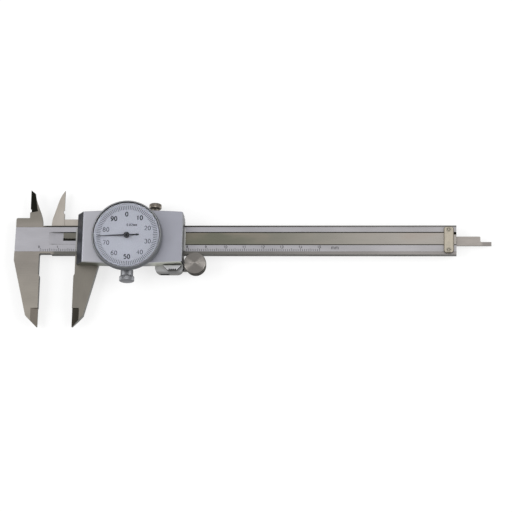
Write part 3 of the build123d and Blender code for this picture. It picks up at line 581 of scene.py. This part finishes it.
thumb_edge = slider_steel.rise(slider_steel.y, centre_y - 16.6 * mm, centre_y - 18.2 * mm)
slider_steel.lay(slider_steel.both(thumb, thumb_edge), (136, 136, 136))
# Painted shade: the upright faces of the frame are darker.
slider_steel.lay(slider_steel.walls(), (104, 103, 100))
# Painted shadow: a near black slot on the lower wall of the thumb rest, and dark notches along the lower
# edge of its pad.
slot_left = case_left_x + 46.1 * mm
slot_width = 4.7 * mm
sharp = 0.04 * mm
slot_shadow = slider_steel.both(
    slider_steel.between(slider_steel.x, slot_left, slot_left + slot_width, sharp),
    slider_steel.between(slider_steel.z, -1.5 * mm, 1.35 * mm, sharp),
    slider_steel.rise(slider_steel.y, centre_y - 12 * mm, centre_y - 12.2 * mm),
)
slider_steel.lay(slot_shadow, (8, 8, 8))
notch_shade = slider_steel.both(
    slider_steel.between(slider_steel.x, slot_left + 4.8 * mm, slot_left + 8.8 * mm, sharp),
    slider_steel.between(slider_steel.z, 4.15 * mm, 4.85 * mm, sharp),
    slider_steel.rise(slider_steel.y, centre_y - 16.5 * mm, centre_y - 16.6 * mm),
)
slider_steel.lay(notch_shade, (22, 22, 22))
# Painted reflection: the slanted facets at the outside jaw's tip are near black.
ground_slope = slider_steel.slopes()
slider_tip = slider_steel.rise(slider_steel.y, centre_y - 20 * mm, outside_facet_y)
slider_steel.lay(slider_steel.both(ground_slope, slider_tip), (34, 32, 28))
slider_cloud = slider_steel.grain(8 * mm, (1, 2, 1))
slider_lines = slider_steel.grain(0.12 * mm, (1, 50, 1), detail=2.0)
slider_steel.shade(slider_cloud, 0.04)
slider_steel.shade(slider_lines, 0.05)
slider_steel.roughen(slider_cloud, 0.35, 0.5)
# The dark edges are painted edge shade.
slider_steel.wear((74, 71, 66), 0.7)
slider_steel.raise_by(slider_lines, 0.002 * mm)
dress("slider_frame", slider_steel.done())

# The gib: a thin brass strip between the upper rail and the beam, pushed home by two slotted set
# screws of hardened steel. The screws at the back of the caliper have the same finish.
brass = Finish("brass", (188, 160, 104), edge_radius=0.05 * mm)
brass_tarnish = brass.grain(2 * mm)
brass.lay(brass.rise(brass_tarnish, 0.5, 0.75), (158, 130, 82))
brass.shade(brass.grain(0.08 * mm, (30, 1, 1)), 0.07)
brass.roughen(brass_tarnish, 0.28, 0.44)
brass.wear((222, 200, 150), 0.5)
brass.raise_by(brass.grain(0.1 * mm), 0.002 * mm)
brass_material = brass.done()
dress("gib_strip", brass_material)

dark_screw = Finish("dark_screw", (112, 110, 106), edge_radius=0.05 * mm)
dark_turning = dark_screw.grain(0.09 * mm)
dark_screw.shade(dark_turning, 0.1)
dark_screw.shade(dark_screw.grain(1.5 * mm), 0.06)
dark_screw.roughen(dark_turning, 0.25, 0.45)
dark_screw.wear((180, 178, 172), 0.6)
dark_screw.raise_by(dark_turning, 0.003 * mm)
dark_screw_material = dark_screw.done()
dress("gib_screws", dark_screw_material)

# The back of the slider: a ground steel plate with four countersunk screws, and the depth bar, a drawn
# steel strip with a stepped tip that two more of them hold. It slides in the groove behind the beam.
back_steel = Finish("back_steel", (160, 157, 152), edge_radius=0.15 * mm)
back_lines = back_steel.grain(0.14 * mm, (50, 1, 1), detail=2.0)
back_cloud = back_steel.grain(7 * mm, (2, 1, 1))
back_steel.shade(back_cloud, 0.05)
back_steel.shade(back_lines, 0.06)
# Painted shade: the upright faces are darker.
back_steel.lay(back_steel.walls(), (112, 110, 106))
back_steel.roughen(back_cloud, 0.34, 0.5)
back_steel.wear((200, 198, 193), 0.5)
back_steel.raise_by(back_lines, 0.002 * mm)
dress("back_plate", back_steel.done())

depth_steel = Finish("depth_steel", (160, 154, 149), edge_radius=0.12 * mm)
depth_tip_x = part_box("depth_bar")[1].x
stepped_tip = depth_steel.rise(depth_steel.x, depth_tip_x - 6 * mm, depth_tip_x - 4 * mm)
depth_steel.lay(stepped_tip, (139, 134, 130))
depth_lines = depth_steel.grain(0.1 * mm, (80, 1, 1), detail=2.0)
depth_steel.shade(depth_steel.grain(5 * mm, (2, 1, 1)), 0.04)
depth_steel.shade(depth_lines, 0.05)
# Painted shade: the upright faces are darker.
depth_steel.lay(depth_steel.walls(), (116, 112, 108))
depth_steel.roughen(depth_lines, 0.32, 0.46)
depth_steel.wear((128, 124, 120), 0.5)
depth_steel.raise_by(depth_lines, 0.002 * mm)
dress("depth_bar", depth_steel.done())
for screws in ("back_plate_screws", "depth_bar_screws"):
    dress(screws, dark_screw_material)

# The cover strip: rolled spring steel that slides over the rack with the slider and keeps chips out of
# it. It laps over the lower edge of the groove. Two brass rivets join it to the slider under the case.
cover_low, cover_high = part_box("rack_cover")
cover_front = beam_front - 0.012 * mm
cover_lap = 0.62 * mm
lap_thickness = 0.04 * mm
notch_x = cover_high.x - 2.5 * mm
notch_y = centre_y + 3.0 * mm
block_x = cover_low.x + 13 * mm
block_foot_y = centre_y - 1.8 * mm
block_top_y = centre_y + 3.8 * mm


def strip_part(shape, corners, back, front):
    """A flat part of the strip, from its corners and its two faces."""
    faces = [[shape.verts.new((x, y, z)) for x, y in corners] for z in (back, front)]
    shape.faces.new(reversed(faces[0]))
    shape.faces.new(faces[1])
    for corner in range(len(corners)):
        after = (corner + 1) % len(corners)
        shape.faces.new((faces[0][corner], faces[0][after], faces[1][after], faces[1][corner]))


cover_shape = bmesh.new()
for lower_y, back, front in (
    (cover_low.y, cover_low.z, cover_front - lap_thickness),
    (cover_low.y - cover_lap, cover_front - lap_thickness, cover_front),
):
    strip_corners = [(cover_low.x, lower_y), (cover_high.x, lower_y), (cover_high.x, notch_y)]
    strip_corners += [(notch_x, notch_y), (notch_x, cover_high.y), (cover_low.x, cover_high.y)]
    strip_part(cover_shape, strip_corners, back, front)
block_corners = [(cover_low.x, block_foot_y), (block_x, block_foot_y)]
block_corners += [(block_x, block_top_y), (cover_low.x, block_top_y)]
strip_part(cover_shape, block_corners, cover_front - lap_thickness, cover_high.z)
cover_piece = made("rack_cover_strip", cover_shape)

cover_steel = Finish("cover_steel", (108, 108, 96), edge_radius=0.06 * mm)
near_end = cover_steel.rise(cover_steel.x, cover_low.x + 24 * mm, cover_high.x - 10 * mm)
cover_steel.lay(near_end, (168, 163, 157))
cover_waves = cover_steel.grain(14 * mm, (1.5, 0.5, 1))
cover_lines = cover_steel.grain(0.1 * mm, (120, 1, 1), detail=2.0)
warm_waves = cover_steel.both(cover_steel.rise(cover_waves, 0.45, 0.75), 0.35)
cover_steel.lay(warm_waves, (150, 136, 126))
cover_steel.shade(cover_waves, 0.03)
cover_steel.shade(cover_lines, 0.05)
lap_y = cover_low.y - cover_lap
# Painted shade: dark lines along both edges of the strip, where it meets the groove, and dark upright
# faces.
upper_edge = cover_steel.rise(cover_steel.y, cover_high.y - 0.4 * mm, cover_high.y - 0.15 * mm)
lower_edge = cover_steel.rise(cover_steel.y, lap_y + 0.6 * mm, lap_y + 0.3 * mm)
cover_steel.lay(upper_edge, (56, 55, 50))
cover_steel.lay(lower_edge, (48, 47, 43))
cover_steel.lay(cover_steel.walls(), (48, 46, 42))
cover_steel.roughen(cover_waves, 0.24, 0.36)
cover_steel.raise_by(cover_lines, 0.001 * mm)
cover_piece.data.materials.append(cover_steel.done())
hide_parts("rack_cover")
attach(cover_piece, "slider")
dress("rack_cover_rivets", brass_material)

# The wipers: two pale plastic strips, one at each end of the case. They keep dust and chips off the
# face of the beam as the slider moves along it.
wiper = Finish("wiper", (150, 150, 148), metallic=0.0, edge_radius=0.08 * mm)
wiper_mottle = wiper.grain(0.5 * mm)
wiper.shade(wiper_mottle, 0.05)
wiper.roughen(wiper_mottle, 0.5, 0.7)
wiper.raise_by(wiper.grain(0.12 * mm), 0.006 * mm)
wiper_material = wiper.done()
for strip in ("wiper_left", "wiper_right"):
    dress(strip, wiper_material)

# The case: a zinc casting over the movement, satin chromed like the scale band. Its left end is a
# slope, painted near black as a dark reflection; its long sides are crowned, and four screws from
# behind hold it on the frame.
case_low, case_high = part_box("dial_housing")
case_chrome = Finish("case_chrome", (164, 164, 170), edge_radius=0.12 * mm)
right_part = case_chrome.rise(case_chrome.x, case_low.x + 20 * mm, case_high.x - 8 * mm)
case_chrome.lay(right_part, (151, 152, 161))
# Painted shade: the walls are darker, and the lower wall darker again at the left, over the jaw.
case_chrome.lay(case_chrome.walls(), (122, 123, 124))
lower_wall = case_chrome.rise(case_chrome.facing_y, -0.6, -0.8)
near_left = case_chrome.rise(case_chrome.x, case_low.x + 24 * mm, case_low.x + 8 * mm)
case_chrome.lay(case_chrome.both(lower_wall, near_left), (122, 124, 114))
# Painted light: the lower wall over the thumb rest is made light where it lies in shade.
near_right = case_chrome.rise(case_chrome.x, case_high.x - 20 * mm, case_high.x - 12 * mm)
case_chrome.lay(case_chrome.both(lower_wall, near_right), (190, 192, 180))
# Painted shade: the right end is darker.
right_end = case_chrome.rise(case_chrome.facing_x, 0.4, 0.7)
case_chrome.lay(right_end, (108, 109, 112))
# Painted reflection: the slope at the left end is near black.
painted_reflection_slope = case_chrome.rise(case_chrome.facing_x, -0.3, -0.6)
case_chrome.lay(painted_reflection_slope, (44, 46, 51))
blast = case_chrome.grain(0.14 * mm)
case_cloud = case_chrome.grain(10 * mm)
case_chrome.shade(case_cloud, 0.025)
case_chrome.shade(blast, 0.05)
case_chrome.roughen(blast, 0.38, 0.54)
# The dark edges are painted edge shade.
case_chrome.wear((124, 124, 126), 0.5)
case_chrome.raise_by(blast, 0.004 * mm)
dress("dial_housing", case_chrome.done())
dress("housing_screws", dark_screw_material)

# The movement under the dial: plate, pillars, bridge and wheels of brass, with the arbor, the springs
# and the screws of hardened steel. It is closed in when the caliper is together.
for movement_piece in ("movement_plate", "movement_pillars", "movement_bridge"):
    dress(movement_piece, brass_material)
for wheel in ("drive_gear", "anti_backlash_gear"):
    dress(wheel, brass_material)
for steel_piece in ("bridge_screws", "pinion_arbor", "anti_backlash_spring", "bezel_spring_ring"):
    dress(steel_piece, dark_screw_material)

# The bezel: a ring turned from aluminium with a fine knurl round its rim for the fingers. It snaps on
# the boss of the case, carries dial and crystal and turns with them to set zero.
bezel_low, bezel_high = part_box("bezel")
dial_centre = Vector(((bezel_low.x + bezel_high.x) / 2, (bezel_low.y + bezel_high.y) / 2, 0))
bezel_radius = (bezel_high.x - bezel_low.x) / 2
bezel_bore = 16.25 * mm
crystal_low, crystal_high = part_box("crystal")
crystal_play = 0.05 * mm
crystal_radius = (crystal_high.x - crystal_low.x) / 2 + crystal_play
seat_radius = crystal_radius - 0.2 * mm


def turned(name, section, centre, teeth, depth, across=False):
    """A piece turned from a half section of (radius, height, toothed) points.

    A section that keeps off the axis gives a ring, and across lays the axis along y. The knurl's teeth
    are straight, with four steps each, and are cut in from the radius of the points that are toothed.
    """
    profile = (0.0, 0.35, 1.0, 0.35)
    smooth_below = radians(32)
    steps = teeth * len(profile)
    shape = bmesh.new()
    rings = []
    for radius, height, toothed in section:
        ring = []
        for step in range(steps if radius else 1):
            angle = 2 * pi * step / steps
            cut_radius = radius - (depth * profile[step % len(profile)] if toothed else 0)
            spot = (cut_radius * cos(angle), cut_radius * sin(angle), height)
            if across:
                spot = (spot[0], spot[2], spot[1])
            ring.append(shape.verts.new(centre + Vector(spot)))
        rings.append(ring if radius else ring * steps)
    pairs = list(zip(rings, rings[1:]))
    if section[0][0] and section[-1][0]:
        pairs.append((rings[-1], rings[0]))
    for first, second in pairs:
        for step in range(steps):
            after = (step + 1) % steps
            corners = dict.fromkeys((first[step], first[after], second[after], second[step]))
            if len(corners) > 2:
                shape.faces.new(corners)
    bmesh.ops.recalc_face_normals(shape, faces=shape.faces)
    for face in shape.faces:
        face.smooth = True
    for edge in shape.edges:
        edge.smooth = edge.calc_face_angle(0) < smooth_below
    return made(name, shape)


def plain(*points):
    """The smooth points of a half section."""
    return [(radius, height, False) for radius, height in points]


def knurled(*points):
    """The points of a half section that the knurl is cut in."""
    return [(radius, height, True) for radius, height in points]


bezel_back = bezel_low.z
bezel_front = bezel_high.z
bezel_rim = bezel_radius - 0.35 * mm
groove_radius = 16.9 * mm
groove_front = dial_low.z - 0.35 * mm
groove_back = 9.65 * mm
bezel_teeth = 150
bezel_knurl = 0.14 * mm
bezel_section = (
    plain((bezel_bore, bezel_back), (bezel_radius - 0.4 * mm, bezel_back))
    + plain((bezel_radius - 0.15 * mm, bezel_back + 0.2 * mm))
    + knurled((bezel_radius, bezel_back + 0.4 * mm), (bezel_radius, bezel_back + 2.5 * mm))
    + plain((bezel_radius - 0.15 * mm, bezel_back + 2.75 * mm), (bezel_rim, bezel_back + 2.9 * mm))
    + plain((bezel_rim, bezel_front - 0.3 * mm), (bezel_rim - 0.15 * mm, bezel_front - 0.05 * mm))
    + plain((bezel_rim - 0.3 * mm, bezel_front), (seat_radius, bezel_front - 0.2 * mm))
    + plain((seat_radius, crystal_high.z), (crystal_radius, crystal_high.z))
    + plain((crystal_radius, crystal_low.z), (seat_radius, crystal_low.z))
    + plain((seat_radius, dial_low.z), (bezel_bore, dial_low.z), (bezel_bore, groove_front))
    + plain((groove_radius, groove_front), (groove_radius, groove_back), (bezel_bore, groove_back))
)
bezel_piece = turned("bezel_knurled", bezel_section, dial_centre, bezel_teeth, bezel_knurl)
bezel_metal = Finish("bezel_metal", (142, 143, 147), edge_radius=0.06 * mm)
ring_lines = bezel_metal.grain(0.09 * mm, (1, 1, 0.6))
bezel_metal.shade(bezel_metal.grain(6 * mm), 0.05)
bezel_metal.shade(ring_lines, 0.05)
bezel_reach = bezel_metal.reach(dial_centre)
# Painted light: the seat and the inside of the rim are made lighter against the shade at the crystal's
# edge.
seat_painted_light = bezel_metal.rise(bezel_reach, bezel_rim - 0.2 * mm, bezel_rim - 0.35 * mm)
bezel_metal.lay(seat_painted_light, (178, 179, 182))
# Painted shade: a dark band at the outer edge of the rim, and darker walls.
outer_edge = bezel_metal.rise(bezel_reach, bezel_rim - 0.48 * mm, bezel_rim - 0.22 * mm)
bezel_metal.lay(outer_edge, (100, 101, 104))
bezel_metal.lay(bezel_metal.walls(), (108, 110, 113))
bezel_metal.roughen(ring_lines, 0.74, 0.86)
bezel_metal.wear((140, 142, 146), 0.3)
bezel_metal.raise_by(ring_lines, 0.002 * mm)
bezel_piece.data.materials.append(bezel_metal.done())
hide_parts("bezel")
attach(bezel_piece, "bezel")

# The dial: a thin metal disc with a matt silvered face, printed with a hundred divisions of 0.02 mm
# and a number at every tenth. A pale ring keeps the crystal off it.
dial_front = dial_high.z
print_turn = 92.0
divisions = 100
division_angle = 360 / divisions
division_foot = 16.4 * mm
division_heads = {1: 14.2 * mm, 5: 13.95 * mm, 10: 13.9 * mm}
division_width = 0.26 * mm
numeral_radius = 11.7 * mm
numeral_height = 2.25 * mm
numeral_width = 0.33 * mm
heavy_numbers = (0, 10, 50, 90)
heavy_width = 0.54 * mm
value_place = (dial_centre.x + 2.5 * mm, dial_centre.y + 5.8 * mm)
value_height = 1.2 * mm
value_width = 0.26 * mm

dial_paint = Finish("dial_paint", (174, 174, 181), metallic=0.25, edge_radius=0.05 * mm)
dial_speckle = dial_paint.grain(0.28 * mm, detail=1.0)
dark_speckles = dial_paint.both(dial_paint.rise(dial_speckle, 0.5, 0.72), 0.5)
dial_paint.lay(dark_speckles, (162, 163, 172))
light_speckles = dial_paint.both(dial_paint.rise(dial_speckle, 0.46, 0.3), 0.5)
dial_paint.lay(light_speckles, (191, 191, 196))
dial_paint.shade(dial_paint.grain(5 * mm), 0.02)
dial_paint.roughen(dial_speckle, 0.48, 0.62)
dial_paint.raise_by(dial_speckle, 0.003 * mm)
dress("dial_face", dial_paint.done())

spacer_plastic = Finish("spacer_plastic", (222, 223, 226), metallic=0.0, edge_radius=0.05 * mm)
spacer_mottle = spacer_plastic.grain(0.4 * mm)
spacer_plastic.shade(spacer_mottle, 0.04)
spacer_plastic.roughen(spacer_mottle, 0.4, 0.6)
dress("dial_spacer", spacer_plastic.done())


def on_dial(division, radius):
    """The place of a division at a distance from the middle of the dial."""
    angle = radians(print_turn - division_angle * division)
    return (dial_centre.x + radius * cos(angle), dial_centre.y + radius * sin(angle))


dial_lines = []
for division in range(divisions):
    head = on_dial(division, division_heads[rank(division)])
    dial_lines.append(([head, on_dial(division, division_foot)], division_width))
dial_numbers = []
for division in range(0, divisions, 10):
    strokes = written(str(division), on_dial(division, numeral_radius), numeral_height)
    print_width = heavy_width if division in heavy_numbers else numeral_width
    dial_numbers += [(stroke, print_width) for stroke in strokes]
value_strokes = written("0.02mm", value_place, value_height)
dial_numbers += [(stroke, value_width) for stroke in value_strokes]

dial_ink = Finish("dial_ink", (14, 16, 21), metallic=0.0)
dial_ink.shader.inputs["Specular IOR Level"].default_value = 0.2
dial_ink.shade(dial_ink.grain(0.5 * mm), 0.2)
dial_ink.roughen(dial_ink.grain(0.2 * mm), 0.5, 0.7)
dial_ink_material = dial_ink.done()
for piece_name, lines in (("dial_divisions", dial_lines), ("dial_numbers", dial_numbers)):
    piece = filled_lines(piece_name, lines, dial_front, fill_height)
    piece.data.materials.append(dial_ink_material)
    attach(piece, "bezel")

# The pointer: a thin strip of blackened steel with a tapered tip and a short balanced tail. A turned
# collet presses it on the staff with the centre pinion, black too, which turns once in 2 mm.
blackened = Finish("blackened", (26, 25, 30), metallic=0.0, edge_radius=0.04 * mm)
blackened.shader.inputs["Specular IOR Level"].default_value = 0.25
blued = blackened.grain(0.6 * mm)
blackened.shade(blued, 0.2)
blackened.roughen(blued, 0.45, 0.6)
blackened.wear((78, 76, 84), 0.4)
blackened.raise_by(blackened.grain(0.1 * mm), 0.002 * mm)
blackened_material = blackened.done()
for dark_piece in ("pointer", "pointer_collet", "centre_pinion"):
    dress(dark_piece, blackened_material)

# The crystal: a flat disc of clear acrylic snapped in the bezel. Its index is set below that of
# acrylic, so that no pale veil of reflected white lies on the black of the pointer and of the print.
clear = Finish("clear", (250, 252, 255), metallic=0.0, edge_radius=0.1 * mm)
clear.shader.inputs["Transmission Weight"].default_value = 1.0
clear.shader.inputs["IOR"].default_value = 1.2
clear.roughen(clear.grain(2 * mm), 0.0, 0.03)
dress("crystal", clear.done())

# The bezel clamp: a nickel plated bush in the wall of the case, a brass plunger inside it, and a
# knurled screw that lifts the plunger against the bezel.
clamp_low, clamp_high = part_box("bezel_clamp_screw")
clamp_axis = Vector(((clamp_low.x + clamp_high.x) / 2, centre_y, (clamp_low.z + clamp_high.z) / 2))
dress("clamp_plunger", brass_material)
clamp_radius = (clamp_high.x - clamp_low.x) / 2
clamp_foot = clamp_low.y - centre_y
clamp_neck = clamp_foot + 2.95 * mm
clamp_tip = clamp_high.y - centre_y
clamp_shank = 1.3 * mm
clamp_thread = 1.25 * mm
clamp_point = 0.7 * mm
clamp_teeth = 54
clamp_knurl = 0.16 * mm
clamp_section = (
    plain((0, clamp_foot), (clamp_radius - 0.7 * mm, clamp_foot))
    + plain((clamp_radius - 0.25 * mm, clamp_foot + 0.2 * mm))
    + knurled((clamp_radius, clamp_foot + 0.45 * mm), (clamp_radius, clamp_neck - 0.4 * mm))
    + plain((clamp_radius - 0.2 * mm, clamp_neck - 0.15 * mm))
    + plain((clamp_radius - 0.45 * mm, clamp_neck), (clamp_shank, clamp_neck))
    + plain((clamp_shank, clamp_tip - 5.3 * mm), (clamp_thread, clamp_tip - 4.7 * mm))
    + plain((clamp_thread, clamp_tip - 0.5 * mm), (clamp_point, clamp_tip), (0, clamp_tip))
)
clamp_piece = turned(
    "clamp_screw_knurled", clamp_section, clamp_axis, clamp_teeth, clamp_knurl, across=True
)
clamp_metal = Finish("clamp_metal", (110, 111, 114), edge_radius=0.06 * mm)
clamp_lines = clamp_metal.grain(0.12 * mm)
clamp_metal.shade(clamp_metal.grain(2.5 * mm), 0.06)
clamp_metal.shade(clamp_lines, 0.06)
clamp_metal.roughen(clamp_lines, 0.44, 0.58)
clamp_metal.wear((140, 140, 144), 0.3)
clamp_metal.raise_by(clamp_lines, 0.003 * mm)
clamp_metal_material = clamp_metal.done()
dress("clamp_bush", clamp_metal_material)
clamp_piece.data.materials.append(clamp_metal_material)
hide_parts("bezel_clamp_screw")
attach(clamp_piece, "bezel_clamp")

# The lock screw: brass, turned and nickel plated, with a knurled head. Its point presses the gib on
# the beam and holds the slider.
lock_low, lock_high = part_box("lock_screw")
lock_axis = Vector(((lock_low.x + lock_high.x) / 2, centre_y, (lock_low.z + lock_high.z) / 2))
lock_radius = (lock_high.x - lock_low.x) / 2
lock_top = lock_high.y - centre_y
lock_tip = lock_low.y - centre_y
lock_point = 0.8 * mm
lock_thread = 1.25 * mm
lock_collar = 2.3 * mm
lock_chamfer = 2.9 * mm
lock_teeth = 30
lock_knurl = 0.2 * mm
lock_section = (
    plain((0, lock_tip), (lock_point, lock_tip), (lock_thread, lock_tip + 0.55 * mm))
    + plain((lock_thread, lock_top - 4.4 * mm), (lock_collar, lock_top - 4.4 * mm))
    + plain((lock_collar, lock_top - 3.2 * mm), (lock_chamfer, lock_top - 2.9 * mm))
    + knurled((lock_radius, lock_top - 2.5 * mm), (lock_radius, lock_top - 0.5 * mm))
    + plain((lock_radius - 0.3 * mm, lock_top - 0.2 * mm))
    + plain((lock_radius - 0.7 * mm, lock_top), (0, lock_top))
)
lock_piece = turned("lock_screw_knurled", lock_section, lock_axis, lock_teeth, lock_knurl, across=True)
worn_nickel = Finish("worn_nickel", (106, 100, 93), edge_radius=0.06 * mm)
worn_patches = worn_nickel.grain(1.2 * mm)
worn_nickel.lay(worn_nickel.rise(worn_patches, 0.5, 0.7), (86, 80, 72))
# Painted shade: the neck under the knurled head is darker.
lock_face_y = centre_y + lock_top
lock_neck = worn_nickel.rise(worn_nickel.y, lock_face_y - 2.7 * mm, lock_face_y - 3.0 * mm)
worn_nickel.lay(lock_neck, (84, 80, 74))
worn_nickel.shade(worn_nickel.grain(0.2 * mm), 0.08)
worn_nickel.roughen(worn_patches, 0.28, 0.42)
worn_nickel.wear((150, 144, 135), 0.4)
worn_nickel.raise_by(worn_nickel.grain(0.15 * mm), 0.003 * mm)
lock_piece.data.materials.append(worn_nickel.done())
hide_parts("lock_screw")
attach(lock_piece, "slider_lock")

# The thumb roller: a steel wheel with a face turned in fine rings and a knurled rim, which rolls on
# the lower edge of the beam. It runs on an axle with a snap ring, held by a steel arm behind it.
roller_low, roller_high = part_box("thumb_roller")
roller_axis = Vector(((roller_low.x + roller_high.x) / 2, (roller_low.y + roller_high.y) / 2, 0))
roller_radius = (roller_high.x - roller_low.x) / 2
roller_back = roller_low.z
roller_front = roller_high.z
roller_bore = 1.55 * mm
track_radius = roller_radius - 0.4 * mm
track_front = 2.0 * mm
bore_front = 4.1 * mm
clip_back = 2.75 * mm
clip_front = 3.45 * mm
clip_radius = 2.0 * mm
hub_radius = 2.4 * mm
roller_teeth = 84
roller_knurl = 0.13 * mm
roller_section = (
    plain((roller_bore, roller_back), (track_radius - 0.15 * mm, roller_back))
    + plain((track_radius, roller_back + 0.15 * mm), (track_radius, track_front))
    + plain((roller_radius - 0.2 * mm, track_front))
    + knurled((roller_radius, 2.2 * mm), (roller_radius, roller_front - 0.6 * mm))
    + plain((roller_radius - 0.2 * mm, roller_front - 0.35 * mm))
    + plain((roller_radius - 0.45 * mm, roller_front - 0.1 * mm))
    + plain((roller_radius - 0.7 * mm, roller_front), (hub_radius, roller_front - 0.06 * mm))
    + plain((0, roller_front - 0.1 * mm), (0, bore_front), (roller_bore, bore_front))
    + plain((roller_bore, clip_front), (clip_radius, clip_front), (clip_radius, clip_back))
    + plain((roller_bore, clip_back), (roller_bore, roller_back))
)
roller_piece = turned("thumb_roller_knurled", roller_section, roller_axis, roller_teeth, roller_knurl)
roller_steel = Finish("roller_steel", (136, 132, 128), edge_radius=0.08 * mm)
rings_per_metre = 9000.0
from_axis = roller_steel.reach(roller_axis)
noise_along = {"noise_dimensions": "1D"}
spun = roller_steel.add("ShaderNodeTexNoise", noise_along, W=from_axis, Scale=rings_per_metre).outputs[0]
roller_steel.shade(spun, 0.1)
# Painted shade: the rim's upright faces are darker.
roller_steel.lay(roller_steel.walls(), (58, 56, 52))
roller_steel.roughen(spun, 0.42, 0.52)
roller_steel.wear((130, 127, 122), 0.3)
roller_steel.raise_by(spun, 0.002 * mm)
roller_steel.shader.inputs["Anisotropic"].default_value = 1.0
roller_steel.shader.inputs["Anisotropic Rotation"].default_value = 0.25
ring_direction = roller_steel.add("ShaderNodeTangent", {"direction_type": "RADIAL", "axis": "Z"})
roller_steel.plug(roller_steel.shader.inputs["Tangent"], ring_direction.outputs[0])
roller_piece.data.materials.append(roller_steel.done())
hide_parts("thumb_roller")
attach(roller_piece, "roller")
arm_steel = Finish("arm_steel", (150, 148, 146), edge_radius=0.1 * mm)
arm_lines = arm_steel.grain(0.12 * mm, (40, 1, 1), detail=2.0)
arm_steel.shade(arm_lines, 0.06)
arm_steel.shade(arm_steel.grain(4 * mm), 0.04)
arm_steel.roughen(arm_lines, 0.36, 0.5)
arm_steel.wear((182, 180, 176), 0.5)
arm_steel.raise_by(arm_lines, 0.002 * mm)
dress("roller_arm", arm_steel.done())
for small_steel in ("roller_arm_screws", "roller_axle", "roller_snap_ring"):
    dress(small_steel, dark_screw_material)
